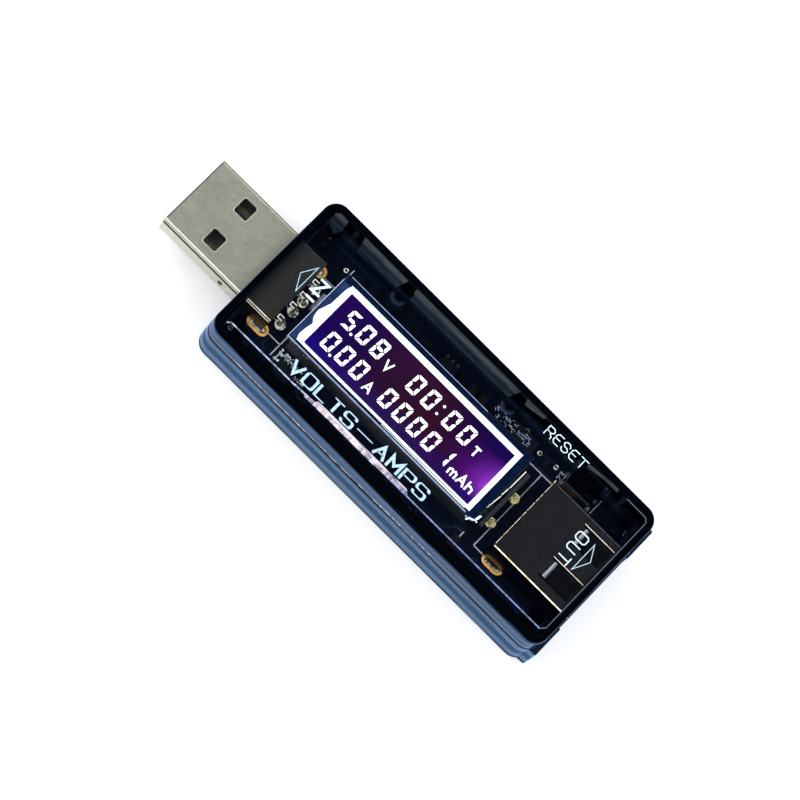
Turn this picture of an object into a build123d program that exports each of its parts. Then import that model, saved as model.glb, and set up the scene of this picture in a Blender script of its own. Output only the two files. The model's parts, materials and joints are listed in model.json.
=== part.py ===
from build123d import *
import os

# USB power meter: a stick with a type A plug at -X and a type A receptacle at +X.
# Millimetres. Origin: centre of the case's flat underside. +Z up, the display faces up.
# The reset button is on the +Y side, beside the receptacle.

os.makedirs("parts", exist_ok=True)

# ---- Driving dimensions ----

# Case, a tray and a lid that meet at the parting height
CASE_LENGTH = 61.5
CASE_WIDTH = 25.6
CASE_HEIGHT = 11.6
PARTING_Z = 7.15
CASE_CORNER = 2.2
WALL = 1.3
FLOOR = 1.2
ROOF = 1.2
LID_EDGE_ROUND = 1.2
TRAY_EDGE_ROUND = 0.7
PARTING_CHAMFER = 0.15
CUT_PAST = 1.0

# Raised pad on the tray's port end
PAD_PROUD = 0.63
PAD_HALF_WIDTH = 12.1
PAD_FOOT_Z = 0.5

# Lid lip that lines the tray's long walls
LIP_INNER_Y = 10.55
LIP_DEPTH = 1.0
LIP_CLEARANCE = 0.08
LIP_HALF_LENGTH = 29.2
LIP_FREE_HALF_LENGTH = 28.4
LIP_SLIT_X = 25.3
LIP_SLIT_WIDTH = 0.8

# Pegs that join lid and tray, and posts that hold the board
PEG_XS = (-15.3, 5.6)
PEG_Y = 10.7
PEG_RADIUS = 0.6
PEG_SOCKET_RADIUS = 0.65
PEG_BOSS_RADIUS = 1.2
PEG_TIP_Z = 3.4
SOCKET_TOP_Z = 6.0
POST_X = 27.6
POST_Y = 9.4
POST_RADIUS = 1.1
POST_PIN_RADIUS = 0.55

# Circuit board
BOARD_TOP_Z = 4.4
BOARD_THICKNESS = 1.2
BOARD_HALF_LENGTH = 29.2
BOARD_HALF_WIDTH = 11.2
PIN_TIP_Z = 2.35

# USB contacts, shared by plug and receptacle: outer pair for power, inner pair for data
CONTACT_YS = (-3.5, -1.0, 1.0, 3.5)
CONTACT_WIDTH = 1.0
SHEET = 0.3

# Plug
PLUG_WIDTH = 12.0
PLUG_HEIGHT = 4.5
PLUG_TIP_X = -44.8
PLUG_REAR_X = -25.2
PLUG_LEG_X = -26.05
PLUG_PIN_X = -24.0
PLUG_TONGUE_TOP_Z = 6.6

# Receptacle
PORT_WIDTH = 13.1
PORT_HEIGHT = 5.8
PORT_REAR_X = 16.9
PORT_FRONT_X = 30.75
PORT_LEG_X = 18.9
PORT_PIN_X = 17.88
PORT_TONGUE = (7.3, 9.15)
SPRING_Y = 3.2
SPRING_WIDTH = 2.7
SPRING_SLOT = 0.3

# Connector legs, and the plated slots that they are soldered in
LEG_WIDTH = 1.8
SLOT_LENGTH = 2.6
SLOT_WIDTH = 0.9

# Display stack, from the board upwards
CELL_X = (-22.2, 12.9)
CELL_NEAR_Y = -5.65
CELL_LEDGE_Y = 7.0
CELL_SEAL_Y = 5.65
TRAY_X = (-21.4, 12.1)
TRAY_HALF_WIDTH = 5.4
TRAY_WALL = 0.3
GUIDE_Z = (4.8, 8.0)
REAR_FILM_Z = (8.0, 8.2)
REAR_GLASS_Z = (8.2, 8.9)
FRONT_GLASS_Z = (8.9, 9.6)
FRONT_FILM_Z = (9.6, 9.8)
FRONT_FILM_X = (-20.05, 10.7)
FRONT_FILM_Y = (-4.7, 4.9)

# Backlight lamps on a strip that stands at the light guide's end
LAMP_Y = 2.4
STRIP_X = (13.65, 14.25)
LAMP_PIN_X = 14.85

# Side-pressed reset switch
SWITCH_X = 20.35
SWITCH_Z = 5.9
SWITCH_WIDTH = 4.5
SWITCH_BACK_Y = 8.0
SWITCH_FRONT_Y = 11.0
SWITCH_TOP_Z = 7.4
BUTTON_TIP_Y = 12.55
BUTTON_WIDTH = 2.0
BUTTON_HEIGHT = 1.2
BUTTON_CLEARANCE = 0.07

# ---- Derived dimensions ----

HALF_LENGTH = CASE_LENGTH / 2
HALF_WIDTH = CASE_WIDTH / 2
INNER_X = HALF_LENGTH - WALL
INNER_Y = HALF_WIDTH - WALL
ROOF_Z = CASE_HEIGHT - ROOF
BOARD_UNDER_Z = BOARD_TOP_Z - BOARD_THICKNESS
PLUG_TOP_Z = BOARD_TOP_Z + PLUG_HEIGHT
PORT_TOP_Z = BOARD_TOP_Z + PORT_HEIGHT


# ---- Shape helpers ----


def block(x, y, z):
    """Box between the low and high values given for each axis."""
    spans = (x, y, z)
    size = [high - low for low, high in spans]
    centre = [(high + low) / 2 for low, high in spans]
    return Pos(*centre) * Box(*size)


def both(inner, outer, side):
    """Low and high Y of a band that lies on one side of the centre line."""
    return tuple(sorted((side * inner, side * outer)))


def slab(x, y, z, corner):
    """Plate whose four upright edges are rounded."""
    outline = RectangleRounded(x[1] - x[0], y[1] - y[0], corner)
    base = Pos((x[0] + x[1]) / 2, (y[0] + y[1]) / 2, z[0])
    return extrude(base * outline, amount=z[1] - z[0])


def bar(x, half_width, z, corner):
    """Bar along X, centred on the centre line, whose four long edges are rounded."""
    section = RectangleRounded(2 * half_width, z[1] - z[0], corner)
    start = Plane.YZ.offset(x[0]) * Pos(0, (z[0] + z[1]) / 2)
    return extrude(start * section, amount=x[1] - x[0], dir=(1, 0, 0))


def column(x, y, z, radius):
    """Upright cylinder between two heights."""
    return Pos(x, y, (z[0] + z[1]) / 2) * Cylinder(radius, z[1] - z[0])


def side_profile(points, y, width):
    """Solid of the given width about y, from an outline in the XZ plane."""
    start = Plane.XZ.offset(-(y - width / 2))
    return extrude(start * Polygon(*points, align=None), amount=width, dir=(0, 1, 0))


def oblong(x, y, z, length, width):
    """Upright solid with a stadium outline, long along X."""
    return extrude(Pos(x, y, z[0]) * SlotOverall(length, width), amount=z[1] - z[0])


def save(node, solids):
    """Write one sub-part. A list becomes a group of separate solids."""
    if isinstance(solids, list):
        shape = Compound(children=[one for solid in solids for one in solid.solids()])
    else:
        shape = solids
    shape.label = node
    export_step(shape, os.path.join("parts", node + ".step"))
    return shape


# ---- Case ----


def connector_openings(z):
    """Ways through the two end walls for plug and receptacle, limited to the heights in z."""
    plug_way = block(
        (-HALF_LENGTH - CUT_PAST, -INNER_X + CUT_PAST),
        (-PLUG_WIDTH / 2 - 0.1, PLUG_WIDTH / 2 + 0.1),
        (BOARD_TOP_Z - 0.1, PLUG_TOP_Z + 0.1),
    )
    port_way = block(
        (INNER_X - CUT_PAST, HALF_LENGTH + 2 * CUT_PAST),
        (-PORT_WIDTH / 2 - 0.1, PORT_WIDTH / 2 + 0.1),
        (BOARD_TOP_Z - 0.1, PORT_TOP_Z + 0.1),
    )
    flange_seat = block(
        (HALF_LENGTH - 0.35, HALF_LENGTH + 2 * CUT_PAST),
        (-PORT_WIDTH / 2 - 0.45, PORT_WIDTH / 2 + 0.45),
        (BOARD_TOP_Z - 0.45, PORT_TOP_Z + 0.45),
    )
    band = block((-CASE_LENGTH, CASE_LENGTH), (-CASE_WIDTH, CASE_WIDTH), z)
    return (plug_way + port_way + flange_seat) & band


def tray():
    """Lower half of the case: floor, walls, board posts, peg sockets and port pad."""
    full_x = (-HALF_LENGTH, HALF_LENGTH)
    full_y = (-HALF_WIDTH, HALF_WIDTH)
    shell = slab(full_x, full_y, (0, PARTING_Z), CASE_CORNER)
    shell = fillet(shell.faces().sort_by(Axis.Z)[0].edges(), TRAY_EDGE_ROUND)
    shell = chamfer(shell.faces().sort_by(Axis.Z)[-1].edges(), PARTING_CHAMFER)
    pad = block(
        (INNER_X, HALF_LENGTH + PAD_PROUD),
        (-PAD_HALF_WIDTH, PAD_HALF_WIDTH),
        (PAD_FOOT_Z, PARTING_Z - PARTING_CHAMFER),
    )
    shell += chamfer(pad.faces().sort_by(Axis.X)[-1].edges(), 0.18)

    shell -= slab((-INNER_X, INNER_X), (-INNER_Y, INNER_Y), (FLOOR, PARTING_Z + CUT_PAST), 0.9)
    shell -= connector_openings((0, PARTING_Z + CUT_PAST))
    for side in (-1, 1):
        for x in PEG_XS:
            shell += column(x, side * PEG_Y, (FLOOR - 0.1, SOCKET_TOP_Z), PEG_BOSS_RADIUS)
            bore = (PEG_TIP_Z - 0.4, SOCKET_TOP_Z + CUT_PAST)
            shell -= column(x, side * PEG_Y, bore, PEG_SOCKET_RADIUS)
        for x in (-POST_X, POST_X):
            shell += column(x, side * POST_Y, (FLOOR - 0.1, BOARD_UNDER_Z), POST_RADIUS)
            shell += column(x, side * POST_Y, (FLOOR, BOARD_TOP_Z - 0.2), POST_PIN_RADIUS)

    outside = Plane.XZ.offset(-HALF_WIDTH - CUT_PAST) * Pos(SWITCH_X, SWITCH_Z)
    hole = outside * RectangleRounded(2.7, 1.8, 0.6)
    shell -= extrude(hole, amount=WALL + 2 * CUT_PAST, dir=(0, -1, 0))
    finger_recess = outside * RectangleRounded(3.6, 2.2, 0.9)
    shell -= extrude(finger_recess, amount=CUT_PAST + 0.35, dir=(0, -1, 0))
    return shell


def lid():
    """Upper half of the case: roof, walls, lining lips, pegs and board hold-downs."""
    full_x = (-HALF_LENGTH, HALF_LENGTH)
    full_y = (-HALF_WIDTH, HALF_WIDTH)
    shell = slab(full_x, full_y, (PARTING_Z, CASE_HEIGHT), CASE_CORNER)
    shell = chamfer(shell.faces().sort_by(Axis.Z)[0].edges(), PARTING_CHAMFER)
    shell = fillet(shell.faces().sort_by(Axis.Z)[-1].edges(), LID_EDGE_ROUND)
    shell -= slab((-INNER_X, INNER_X), (-INNER_Y, INNER_Y), (PARTING_Z - CUT_PAST, ROOF_Z), 0.9)

    for side in (-1, 1):
        shell += block(
            (-LIP_HALF_LENGTH, LIP_HALF_LENGTH),
            both(LIP_INNER_Y, INNER_Y + 0.1, side),
            (PARTING_Z, ROOF_Z + 0.1),
        )
        shell += block(
            (-LIP_FREE_HALF_LENGTH, LIP_FREE_HALF_LENGTH),
            both(LIP_INNER_Y, INNER_Y - LIP_CLEARANCE, side),
            (PARTING_Z - LIP_DEPTH, PARTING_Z),
        )
        for x in (-LIP_SLIT_X, LIP_SLIT_X):
            shell -= block(
                (x - LIP_SLIT_WIDTH / 2, x + LIP_SLIT_WIDTH / 2),
                both(LIP_INNER_Y - 0.1, INNER_Y, side),
                (PARTING_Z - LIP_DEPTH - 0.1, ROOF_Z),
            )
    # The far lip is left out round the reset switch
    shell -= block(
        (SWITCH_X - SWITCH_WIDTH / 2 - 0.9, SWITCH_X + SWITCH_WIDTH / 2 + 0.9),
        (LIP_INNER_Y - 0.1, INNER_Y),
        (PARTING_Z - LIP_DEPTH - 0.1, SWITCH_TOP_Z + 0.9),
    )
    for side in (-1, 1):
        for x in PEG_XS:
            shell += column(x, side * PEG_Y, (PARTING_Z, ROOF_Z + 0.1), PEG_BOSS_RADIUS)
            shell += column(x, side * PEG_Y, (PEG_TIP_Z, PARTING_Z), PEG_RADIUS)
        for x in (-POST_X, POST_X):
            shell += column(x, side * POST_Y, (BOARD_TOP_Z, ROOF_Z + 0.1), POST_RADIUS)
    # Stiffening rib above the receptacle's far side, in two lengths
    for x in ((21.2, 24.5), (25.6, 28.8)):
        shell += block(x, (8.5, 9.1), (8.2, ROOF_Z + 0.1))
    return shell - connector_openings((PARTING_Z - CUT_PAST, CASE_HEIGHT))


# ---- Circuit board and what is soldered to it ----


def leg_slots():
    """Centre and side of the four plated slots that hold the connectors' legs."""
    plug_y = PLUG_WIDTH / 2 - SHEET / 2
    port_y = PORT_WIDTH / 2 - SHEET / 2
    for side in (-1, 1):
        yield PLUG_LEG_X, side * plug_y
        yield PORT_LEG_X, side * port_y


def pin_holes():
    """Centre and hole radius of every plated round hole."""
    for y in CONTACT_YS:
        yield PLUG_PIN_X, y, 0.5
        yield PORT_PIN_X, y, 0.62
    for side in (-1, 1):
        yield LAMP_PIN_X, side * LAMP_Y, 0.4


def circuit_board():
    """Board with notches for the pegs, holes for posts and pins, and slots for legs."""
    board = slab(
        (-BOARD_HALF_LENGTH, BOARD_HALF_LENGTH),
        (-BOARD_HALF_WIDTH, BOARD_HALF_WIDTH),
        (BOARD_UNDER_Z, BOARD_TOP_Z),
        0.8,
    )
    through = (BOARD_UNDER_Z - CUT_PAST, BOARD_TOP_Z + CUT_PAST)
    for side in (-1, 1):
        for x in PEG_XS:
            board -= column(x, side * PEG_Y, through, PEG_BOSS_RADIUS + 0.3)
        for x in (-POST_X, POST_X):
            board -= column(x, side * POST_Y, through, POST_PIN_RADIUS + 0.1)
    for x, y in leg_slots():
        board -= oblong(x, y, through, SLOT_LENGTH, SLOT_WIDTH)
    for x, y, radius in pin_holes():
        board -= column(x, y, through, radius)
    return board


def solder_joints(pins, legs):
    """Solder in every plated hole and slot, fitted round the pin or leg in it."""
    joints = []
    for x, y, radius in pin_holes():
        joint = column(x, y, (BOARD_UNDER_Z, BOARD_TOP_Z), radius)
        joint += Pos(x, y, BOARD_UNDER_Z - 0.25) * Cone(radius * 0.8, radius + 0.3, 0.5)
        if x != PORT_PIN_X:
            joint += Pos(x, y, BOARD_TOP_Z + 0.14) * Cone(radius + 0.25, radius * 0.7, 0.28)
        joints.append(joint - pins)
    for x, y in leg_slots():
        joint = oblong(x, y, (BOARD_UNDER_Z, BOARD_TOP_Z - 0.45), SLOT_LENGTH, SLOT_WIDTH)
        foot = (BOARD_UNDER_Z - 0.4, BOARD_UNDER_Z)
        joint += oblong(x, y, foot, SLOT_LENGTH + 0.6, SLOT_WIDTH + 0.6)
        joints.append(joint - legs)
    return joints


def tinned_track():
    """Bead of solder laid along a power track to carry the current."""
    bead = slab((-13.3, 3.9), (-8.25, -7.45), (BOARD_TOP_Z, BOARD_TOP_Z + 0.26), 0.39)
    return fillet(bead.faces().sort_by(Axis.Z)[-1].edges(), 0.2)


def chip_body(x, y, length, width, height, up):
    """Moulded chip body whose side walls slope, 0.1 above the board's face."""
    face = BOARD_TOP_Z if up > 0 else BOARD_UNDER_Z
    middle = face + up * (0.1 + height / 2)
    halves = []
    for end in (-1, 1):
        waist = Plane.XY.offset(middle) * Pos(x, y) * Rectangle(length, width)
        rim = Plane.XY.offset(middle + end * height / 2) * Pos(x, y)
        halves.append(loft([waist.face(), (rim * Rectangle(length - 0.2, width - 0.2)).face()]))
    return halves[0] + halves[1]


def gull_leads(x, y, width, span, height, count, pitch, up, sides=(-1, 1)):
    """Rows of bent leads along the two long sides of a chip."""
    face = BOARD_TOP_Z if up > 0 else BOARD_UNDER_Z
    knee = (width + span) / 4
    middle = 0.1 + height / 2
    outline = (
        (width / 2, middle - 0.07),
        (knee - 0.08, middle - 0.07),
        (knee, 0),
        (span / 2, 0),
        (span / 2, 0.14),
        (knee + 0.12, 0.14),
        (knee + 0.04, middle + 0.07),
        (width / 2, middle + 0.07),
    )
    leads = []
    for side in sides:
        for index in range(count):
            offset = (index - (count - 1) / 2) * pitch
            points = [(y + side * out, face + up * rise) for out, rise in outline]
            start = Plane.YZ.offset(x + offset - pitch / 5) * Polygon(*points, align=None)
            leads.append(extrude(start, amount=pitch * 0.4, dir=(1, 0, 0)))
    return leads


def chip_blocks(places, size, face_z, up):
    """Small two-ended parts soldered flat, given as (x, y, turned)."""
    length, width, height = size
    group = []
    for x, y, turned in places:
        along, across = (width, length) if turned else (length, width)
        z = tuple(sorted((face_z, face_z + up * height)))
        piece = block((x - along / 2, x + along / 2), (y - across / 2, y + across / 2), z)
        group.append(fillet(piece.edges().filter_by(Axis.Z), 0.08))
    return group


# ---- Plug ----


def plug_shell():
    """Folded sheet shell with four latch windows, a side seam and two legs."""
    shell = bar((PLUG_TIP_X, PLUG_REAR_X), PLUG_WIDTH / 2, (BOARD_TOP_Z, PLUG_TOP_Z), 0.5)
    shell = fillet(shell.faces().sort_by(Axis.X)[0].edges(), 0.18)
    shell -= bar(
        (PLUG_TIP_X - CUT_PAST, PLUG_REAR_X + CUT_PAST),
        PLUG_WIDTH / 2 - SHEET,
        (BOARD_TOP_Z + SHEET, PLUG_TOP_Z - SHEET),
        0.25,
    )
    window_x = (PLUG_TIP_X + 5.6, PLUG_TIP_X + 7.85)
    for side in (-1, 1):
        window_y = both(1.8, 4.3, side)
        shell -= block(window_x, window_y, (BOARD_TOP_Z - 0.1, BOARD_TOP_Z + SHEET + 0.1))
        shell -= block(window_x, window_y, (PLUG_TOP_Z - SHEET - 0.1, PLUG_TOP_Z + 0.1))
    seam_x = (PLUG_TIP_X - CUT_PAST, PLUG_REAR_X + CUT_PAST)
    shell -= block(seam_x, (-PLUG_WIDTH / 2 - 0.1, -PLUG_WIDTH / 2 + SHEET + 0.1), (8.2, 8.32))
    pin_mark = Pos(PLUG_TIP_X + 11.2, -PLUG_WIDTH / 2, 5.9) * Rot(90, 0, 0) * Cylinder(0.3, 1.0)
    shell -= pin_mark
    for side in (-1, 1):
        shell += block(
            (PLUG_LEG_X - LEG_WIDTH / 2, PLUG_LEG_X + LEG_WIDTH / 2 - 0.1),
            both(PLUG_WIDTH / 2 - SHEET, PLUG_WIDTH / 2, side),
            (PIN_TIP_Z, BOARD_TOP_Z + 0.8),
        )
    return shell


def plug_contacts():
    """Four flat blades that bend down behind the shell into the board."""
    contacts = []
    for y in CONTACT_YS:
        nose_x = PLUG_TIP_X + (1.4 if abs(y) > 2 else 2.4)
        blade_z = (PLUG_TONGUE_TOP_Z - 0.18, PLUG_TONGUE_TOP_Z + 0.08)
        blade = block((nose_x, -27.6), (y - CONTACT_WIDTH / 2, y + CONTACT_WIDTH / 2), blade_z)
        tail_y = (y - 0.35, y + 0.35)
        blade += block((-27.7, PLUG_PIN_X + 0.13), tail_y, blade_z)
        blade += block((PLUG_PIN_X - 0.13, PLUG_PIN_X + 0.13), tail_y, (PIN_TIP_Z, blade_z[1]))
        contacts.append(blade)
    return contacts


def plug_insulator(contacts):
    """Plastic tongue on the shell's floor, with a full-height block at its rear."""
    half = PLUG_WIDTH / 2 - SHEET - 0.05
    floor_z = BOARD_TOP_Z + SHEET
    tongue = bar((PLUG_TIP_X + 0.6, -25.6), half, (floor_z, PLUG_TONGUE_TOP_Z), 0.3)
    tongue = chamfer(tongue.faces().sort_by(Axis.X)[0].edges(), 0.2)
    tongue += bar((-27.6, -25.6), half, (floor_z, PLUG_TOP_Z - SHEET), 0.3)
    for contact in contacts:
        tongue -= contact
    return tongue


# ---- Receptacle ----


def port_spring(y, top):
    """Leaf cut from the shell's wall and bent into the opening."""
    profile = (
        (23.6, 0),
        (24.4, 0),
        (28.2, 0.62),
        (28.95, 0.3),
        (28.95, 0.6),
        (28.2, 0.92),
        (24.4, SHEET),
        (23.6, SHEET),
    )
    if top:
        points = [(x, PORT_TOP_Z - drop) for x, drop in profile]
    else:
        points = [(x, BOARD_TOP_Z + drop) for x, drop in profile]
    return side_profile(points, y, SPRING_WIDTH)


def receptacle_shell():
    """Folded sheet shell with a flared mouth, four leaf springs and two legs."""
    span_x = (PORT_REAR_X, PORT_FRONT_X)
    shell = bar(span_x, PORT_WIDTH / 2, (BOARD_TOP_Z, PORT_TOP_Z), 0.6)
    flare_z = (BOARD_TOP_Z - 0.35, PORT_TOP_Z + 0.35)
    shell += bar((PORT_FRONT_X - SHEET, PORT_FRONT_X), PORT_WIDTH / 2 + 0.35, flare_z, 0.9)
    shell -= bar(
        (PORT_REAR_X - CUT_PAST, PORT_FRONT_X + CUT_PAST),
        PORT_WIDTH / 2 - SHEET,
        (BOARD_TOP_Z + SHEET, PORT_TOP_Z - SHEET),
        0.35,
    )
    pin_way_x = (PORT_REAR_X - CUT_PAST, PORT_PIN_X + 0.6)
    shell -= block(pin_way_x, (-4.4, 4.4), (BOARD_TOP_Z - 0.1, BOARD_TOP_Z + SHEET + 0.1))
    spring_edges = (SPRING_Y - SPRING_WIDTH / 2 - SPRING_SLOT, SPRING_Y + SPRING_WIDTH / 2 + SPRING_SLOT)
    for side in (-1, 1):
        cut_y = both(*spring_edges, side)
        for top in (True, False):
            low_z = PORT_TOP_Z - SHEET if top else BOARD_TOP_Z
            shell -= block((23.8, 29.3), cut_y, (low_z - 0.1, low_z + SHEET + 0.1))
            shell += port_spring(side * SPRING_Y, top)
        shell += block(
            (PORT_LEG_X - LEG_WIDTH / 2, PORT_LEG_X + LEG_WIDTH / 2),
            both(PORT_WIDTH / 2 - SHEET, PORT_WIDTH / 2, side),
            (PIN_TIP_Z, BOARD_TOP_Z + 0.9),
        )
    # Rear flap, folded down from the roof in three tabs
    for y in (-4.1, 0.0, 4.1):
        flap_z = (6.6, PORT_TOP_Z - 0.15)
        shell += block((PORT_REAR_X, PORT_REAR_X + SHEET), (y - 1.5, y + 1.5), flap_z)
    return shell


def receptacle_contacts():
    """Four spring contacts under the tongue, each with a bowed nose and a pin."""
    outline = (
        (PORT_PIN_X - 0.12, PIN_TIP_Z),
        (PORT_PIN_X + 0.12, PIN_TIP_Z),
        (PORT_PIN_X + 0.12, 7.2),
        (25.0, 7.2),
        (27.2, 6.85),
        (28.2, 7.2),
        (28.6, 7.2),
        (28.6, 7.4),
        (28.2, 7.4),
        (27.2, 7.05),
        (25.0, 7.4),
        (PORT_PIN_X - 0.12, 7.4),
    )
    return [side_profile(outline, y, CONTACT_WIDTH) for y in CONTACT_YS]


def receptacle_insulator(contacts):
    """Tongue in the upper half of the opening, on a block that fills the rear."""
    half = PORT_WIDTH / 2 - SHEET - 0.1
    rear_x = (PORT_REAR_X + SHEET, 19.8)
    body = bar(rear_x, half, (BOARD_TOP_Z + SHEET, PORT_TOP_Z - SHEET), 0.45)
    tongue = bar((19.7, 29.9), 5.5, PORT_TONGUE, 0.2)
    body += chamfer(tongue.faces().sort_by(Axis.X)[-1].edges(), 0.15)
    for contact in contacts:
        body -= contact
    return body


# ---- Display ----


def backlight_tray():
    """White tray, open at the lamp end, that holds the light guide."""
    outer = (-TRAY_HALF_WIDTH, TRAY_HALF_WIDTH)
    inner = (-TRAY_HALF_WIDTH + TRAY_WALL, TRAY_HALF_WIDTH - TRAY_WALL)
    body = block(TRAY_X, outer, (BOARD_TOP_Z, REAR_GLASS_Z[0]))
    hollow_x = (TRAY_X[0] + TRAY_WALL, TRAY_X[1] + CUT_PAST)
    return body - block(hollow_x, inner, (GUIDE_Z[0], REAR_GLASS_Z[0] + CUT_PAST))


def display_layer(x, near_y, far_y, z, corner):
    return slab(x, (near_y, far_y), z, corner)


def lamp_pins():
    """Wire leads from the lamp strip down into the board."""
    pins = []
    for side in (-1, 1):
        y = (side * LAMP_Y - 0.2, side * LAMP_Y + 0.2)
        pin = block((STRIP_X[1], LAMP_PIN_X + 0.12), y, (5.0, 5.25))
        pin += block((LAMP_PIN_X - 0.12, LAMP_PIN_X + 0.12), y, (PIN_TIP_Z, 5.25))
        pins.append(pin)
    return pins


def end_seal():
    """Bead of resin that closes the filling gap at the cell's end."""
    bead = Pos(CELL_X[0], 0.9, (REAR_GLASS_Z[0] + FRONT_GLASS_Z[1]) / 2)
    bead *= Rot(90, 0, 0) * Cylinder(0.6, 2.8)
    outside = block((CELL_X[0] - 1, CELL_X[0]), (-4, 4), (REAR_GLASS_Z[0], FRONT_GLASS_Z[1]))
    return bead & outside


# ---- Reset switch ----


def switch_body():
    """Moulded body with a cavity, open to the front, for the dome and the button's flange."""
    body_x = (SWITCH_X - SWITCH_WIDTH / 2, SWITCH_X + SWITCH_WIDTH / 2)
    body = block(body_x, (SWITCH_BACK_Y, SWITCH_FRONT_Y), (BOARD_TOP_Z, SWITCH_TOP_Z))
    body -= block(
        (SWITCH_X - 1.6, SWITCH_X + 1.6),
        (SWITCH_FRONT_Y - 1.5, SWITCH_FRONT_Y + CUT_PAST),
        (SWITCH_Z - 1.15, SWITCH_Z + 1.15),
    )
    return body


def switch_frame():
    """Bent metal bracket over the body, with the button's hole in its front."""
    half = SWITCH_WIDTH / 2
    span_x = (SWITCH_X - half, SWITCH_X + half)
    top = block(span_x, (SWITCH_BACK_Y + 0.3, SWITCH_FRONT_Y + 0.2), (SWITCH_TOP_Z, SWITCH_TOP_Z + 0.2))
    front = block(span_x, (SWITCH_FRONT_Y, SWITCH_FRONT_Y + 0.2), (BOARD_TOP_Z, SWITCH_TOP_Z + 0.1))
    bracket = top + front
    return bracket - block(
        (SWITCH_X - BUTTON_WIDTH / 2 - BUTTON_CLEARANCE, SWITCH_X + BUTTON_WIDTH / 2 + BUTTON_CLEARANCE),
        (SWITCH_FRONT_Y - CUT_PAST, SWITCH_FRONT_Y + CUT_PAST),
        (SWITCH_Z - BUTTON_HEIGHT / 2 - BUTTON_CLEARANCE, SWITCH_Z + BUTTON_HEIGHT / 2 + BUTTON_CLEARANCE),
    )


def switch_dome():
    """Snap dome behind the button: its crown meets the flange."""
    base_radius, rise, sheet = 1.0, 0.75, 0.08
    radius = (base_radius**2 + rise**2) / (2 * rise)
    base_y = SWITCH_FRONT_Y - 1.5 + 0.02
    centre_y = base_y + rise - radius
    dome = Pos(SWITCH_X, centre_y, SWITCH_Z) * Sphere(radius)
    dome -= Pos(SWITCH_X, centre_y, SWITCH_Z) * Sphere(radius - sheet)
    front = block((SWITCH_X - 3, SWITCH_X + 3), (base_y, base_y + 3), (SWITCH_Z - 3, SWITCH_Z + 3))
    return dome & front


def reset_button():
    """Button: a stem through the frame and the case wall, on a flange behind the frame."""
    stem_y = (SWITCH_FRONT_Y - 0.4, BUTTON_TIP_Y)
    stem = block(
        (SWITCH_X - BUTTON_WIDTH / 2, SWITCH_X + BUTTON_WIDTH / 2),
        stem_y,
        (SWITCH_Z - BUTTON_HEIGHT / 2, SWITCH_Z + BUTTON_HEIGHT / 2),
    )
    stem = fillet(stem.faces().sort_by(Axis.Y)[-1].edges(), 0.25)
    stem += block(
        (SWITCH_X - 1.4, SWITCH_X + 1.4),
        (SWITCH_FRONT_Y - 0.7, SWITCH_FRONT_Y - 0.02),
        (SWITCH_Z - 0.95, SWITCH_Z + 0.95),
    )
    return stem


def switch_terminals():
    """Solder tabs at the switch's two ends."""
    half = SWITCH_WIDTH / 2
    tabs = []
    for side in (-1, 1):
        edge = SWITCH_X + side * half
        x = tuple(sorted((edge, edge + side * 0.6)))
        for y in (8.6, 10.2):
            tabs.append(block(x, (y - 0.35, y + 0.35), (BOARD_TOP_Z, BOARD_TOP_Z + 0.2)))
    return tabs


# ---- Write every sub-part ----

save("bottom_shell", tray())
save("top_shell", lid())

plug_blades = plug_contacts()
port_blades = receptacle_contacts()
lamp_wires = lamp_pins()
plug_case = save("plug_shell", plug_shell())
port_case = save("receptacle_shell", receptacle_shell())
save("plug_contacts", plug_blades)
save("plug_insulator", plug_insulator(plug_blades))
save("receptacle_contacts", port_blades)
save("receptacle_insulator", receptacle_insulator(port_blades))

save("circuit_board", circuit_board())
save("solder_joints", solder_joints(plug_blades + port_blades + lamp_wires, [plug_case, port_case]))
save("tinned_track", tinned_track())

cell_y = (CELL_NEAR_Y, CELL_SEAL_Y)
guide_half = TRAY_HALF_WIDTH - TRAY_WALL
guide_x = (TRAY_X[0] + TRAY_WALL, TRAY_X[1])
save("backlight_tray", backlight_tray())
save("light_guide", display_layer(guide_x, -guide_half, guide_half, GUIDE_Z, 0.2))
save("rear_polarizer", display_layer(guide_x, -guide_half, guide_half, REAR_FILM_Z, 0.2))
save("lcd_rear_glass", display_layer(CELL_X, CELL_NEAR_Y, CELL_LEDGE_Y, REAR_GLASS_Z, 0.15))
save("lcd_front_glass", display_layer(CELL_X, *cell_y, FRONT_GLASS_Z, 0.15))
save("front_polarizer", display_layer(FRONT_FILM_X, *FRONT_FILM_Y, FRONT_FILM_Z, 0.15))
save("lcd_end_seal", end_seal())
save("zebra_connector", block((-20.0, 10.5), (5.7, 6.8), (BOARD_TOP_Z, REAR_GLASS_Z[0])))
save("lamp_strip", block(STRIP_X, (-5.0, 5.0), (BOARD_TOP_Z + 0.1, REAR_GLASS_Z[0] - 0.1)))
lamps = [block((12.3, STRIP_X[0]), (y - 1.1, y + 1.1), (5.2, 7.4)) for y in (-LAMP_Y, LAMP_Y)]
save("backlight_lamps", lamps)
save("lamp_pins", lamp_wires)

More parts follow.
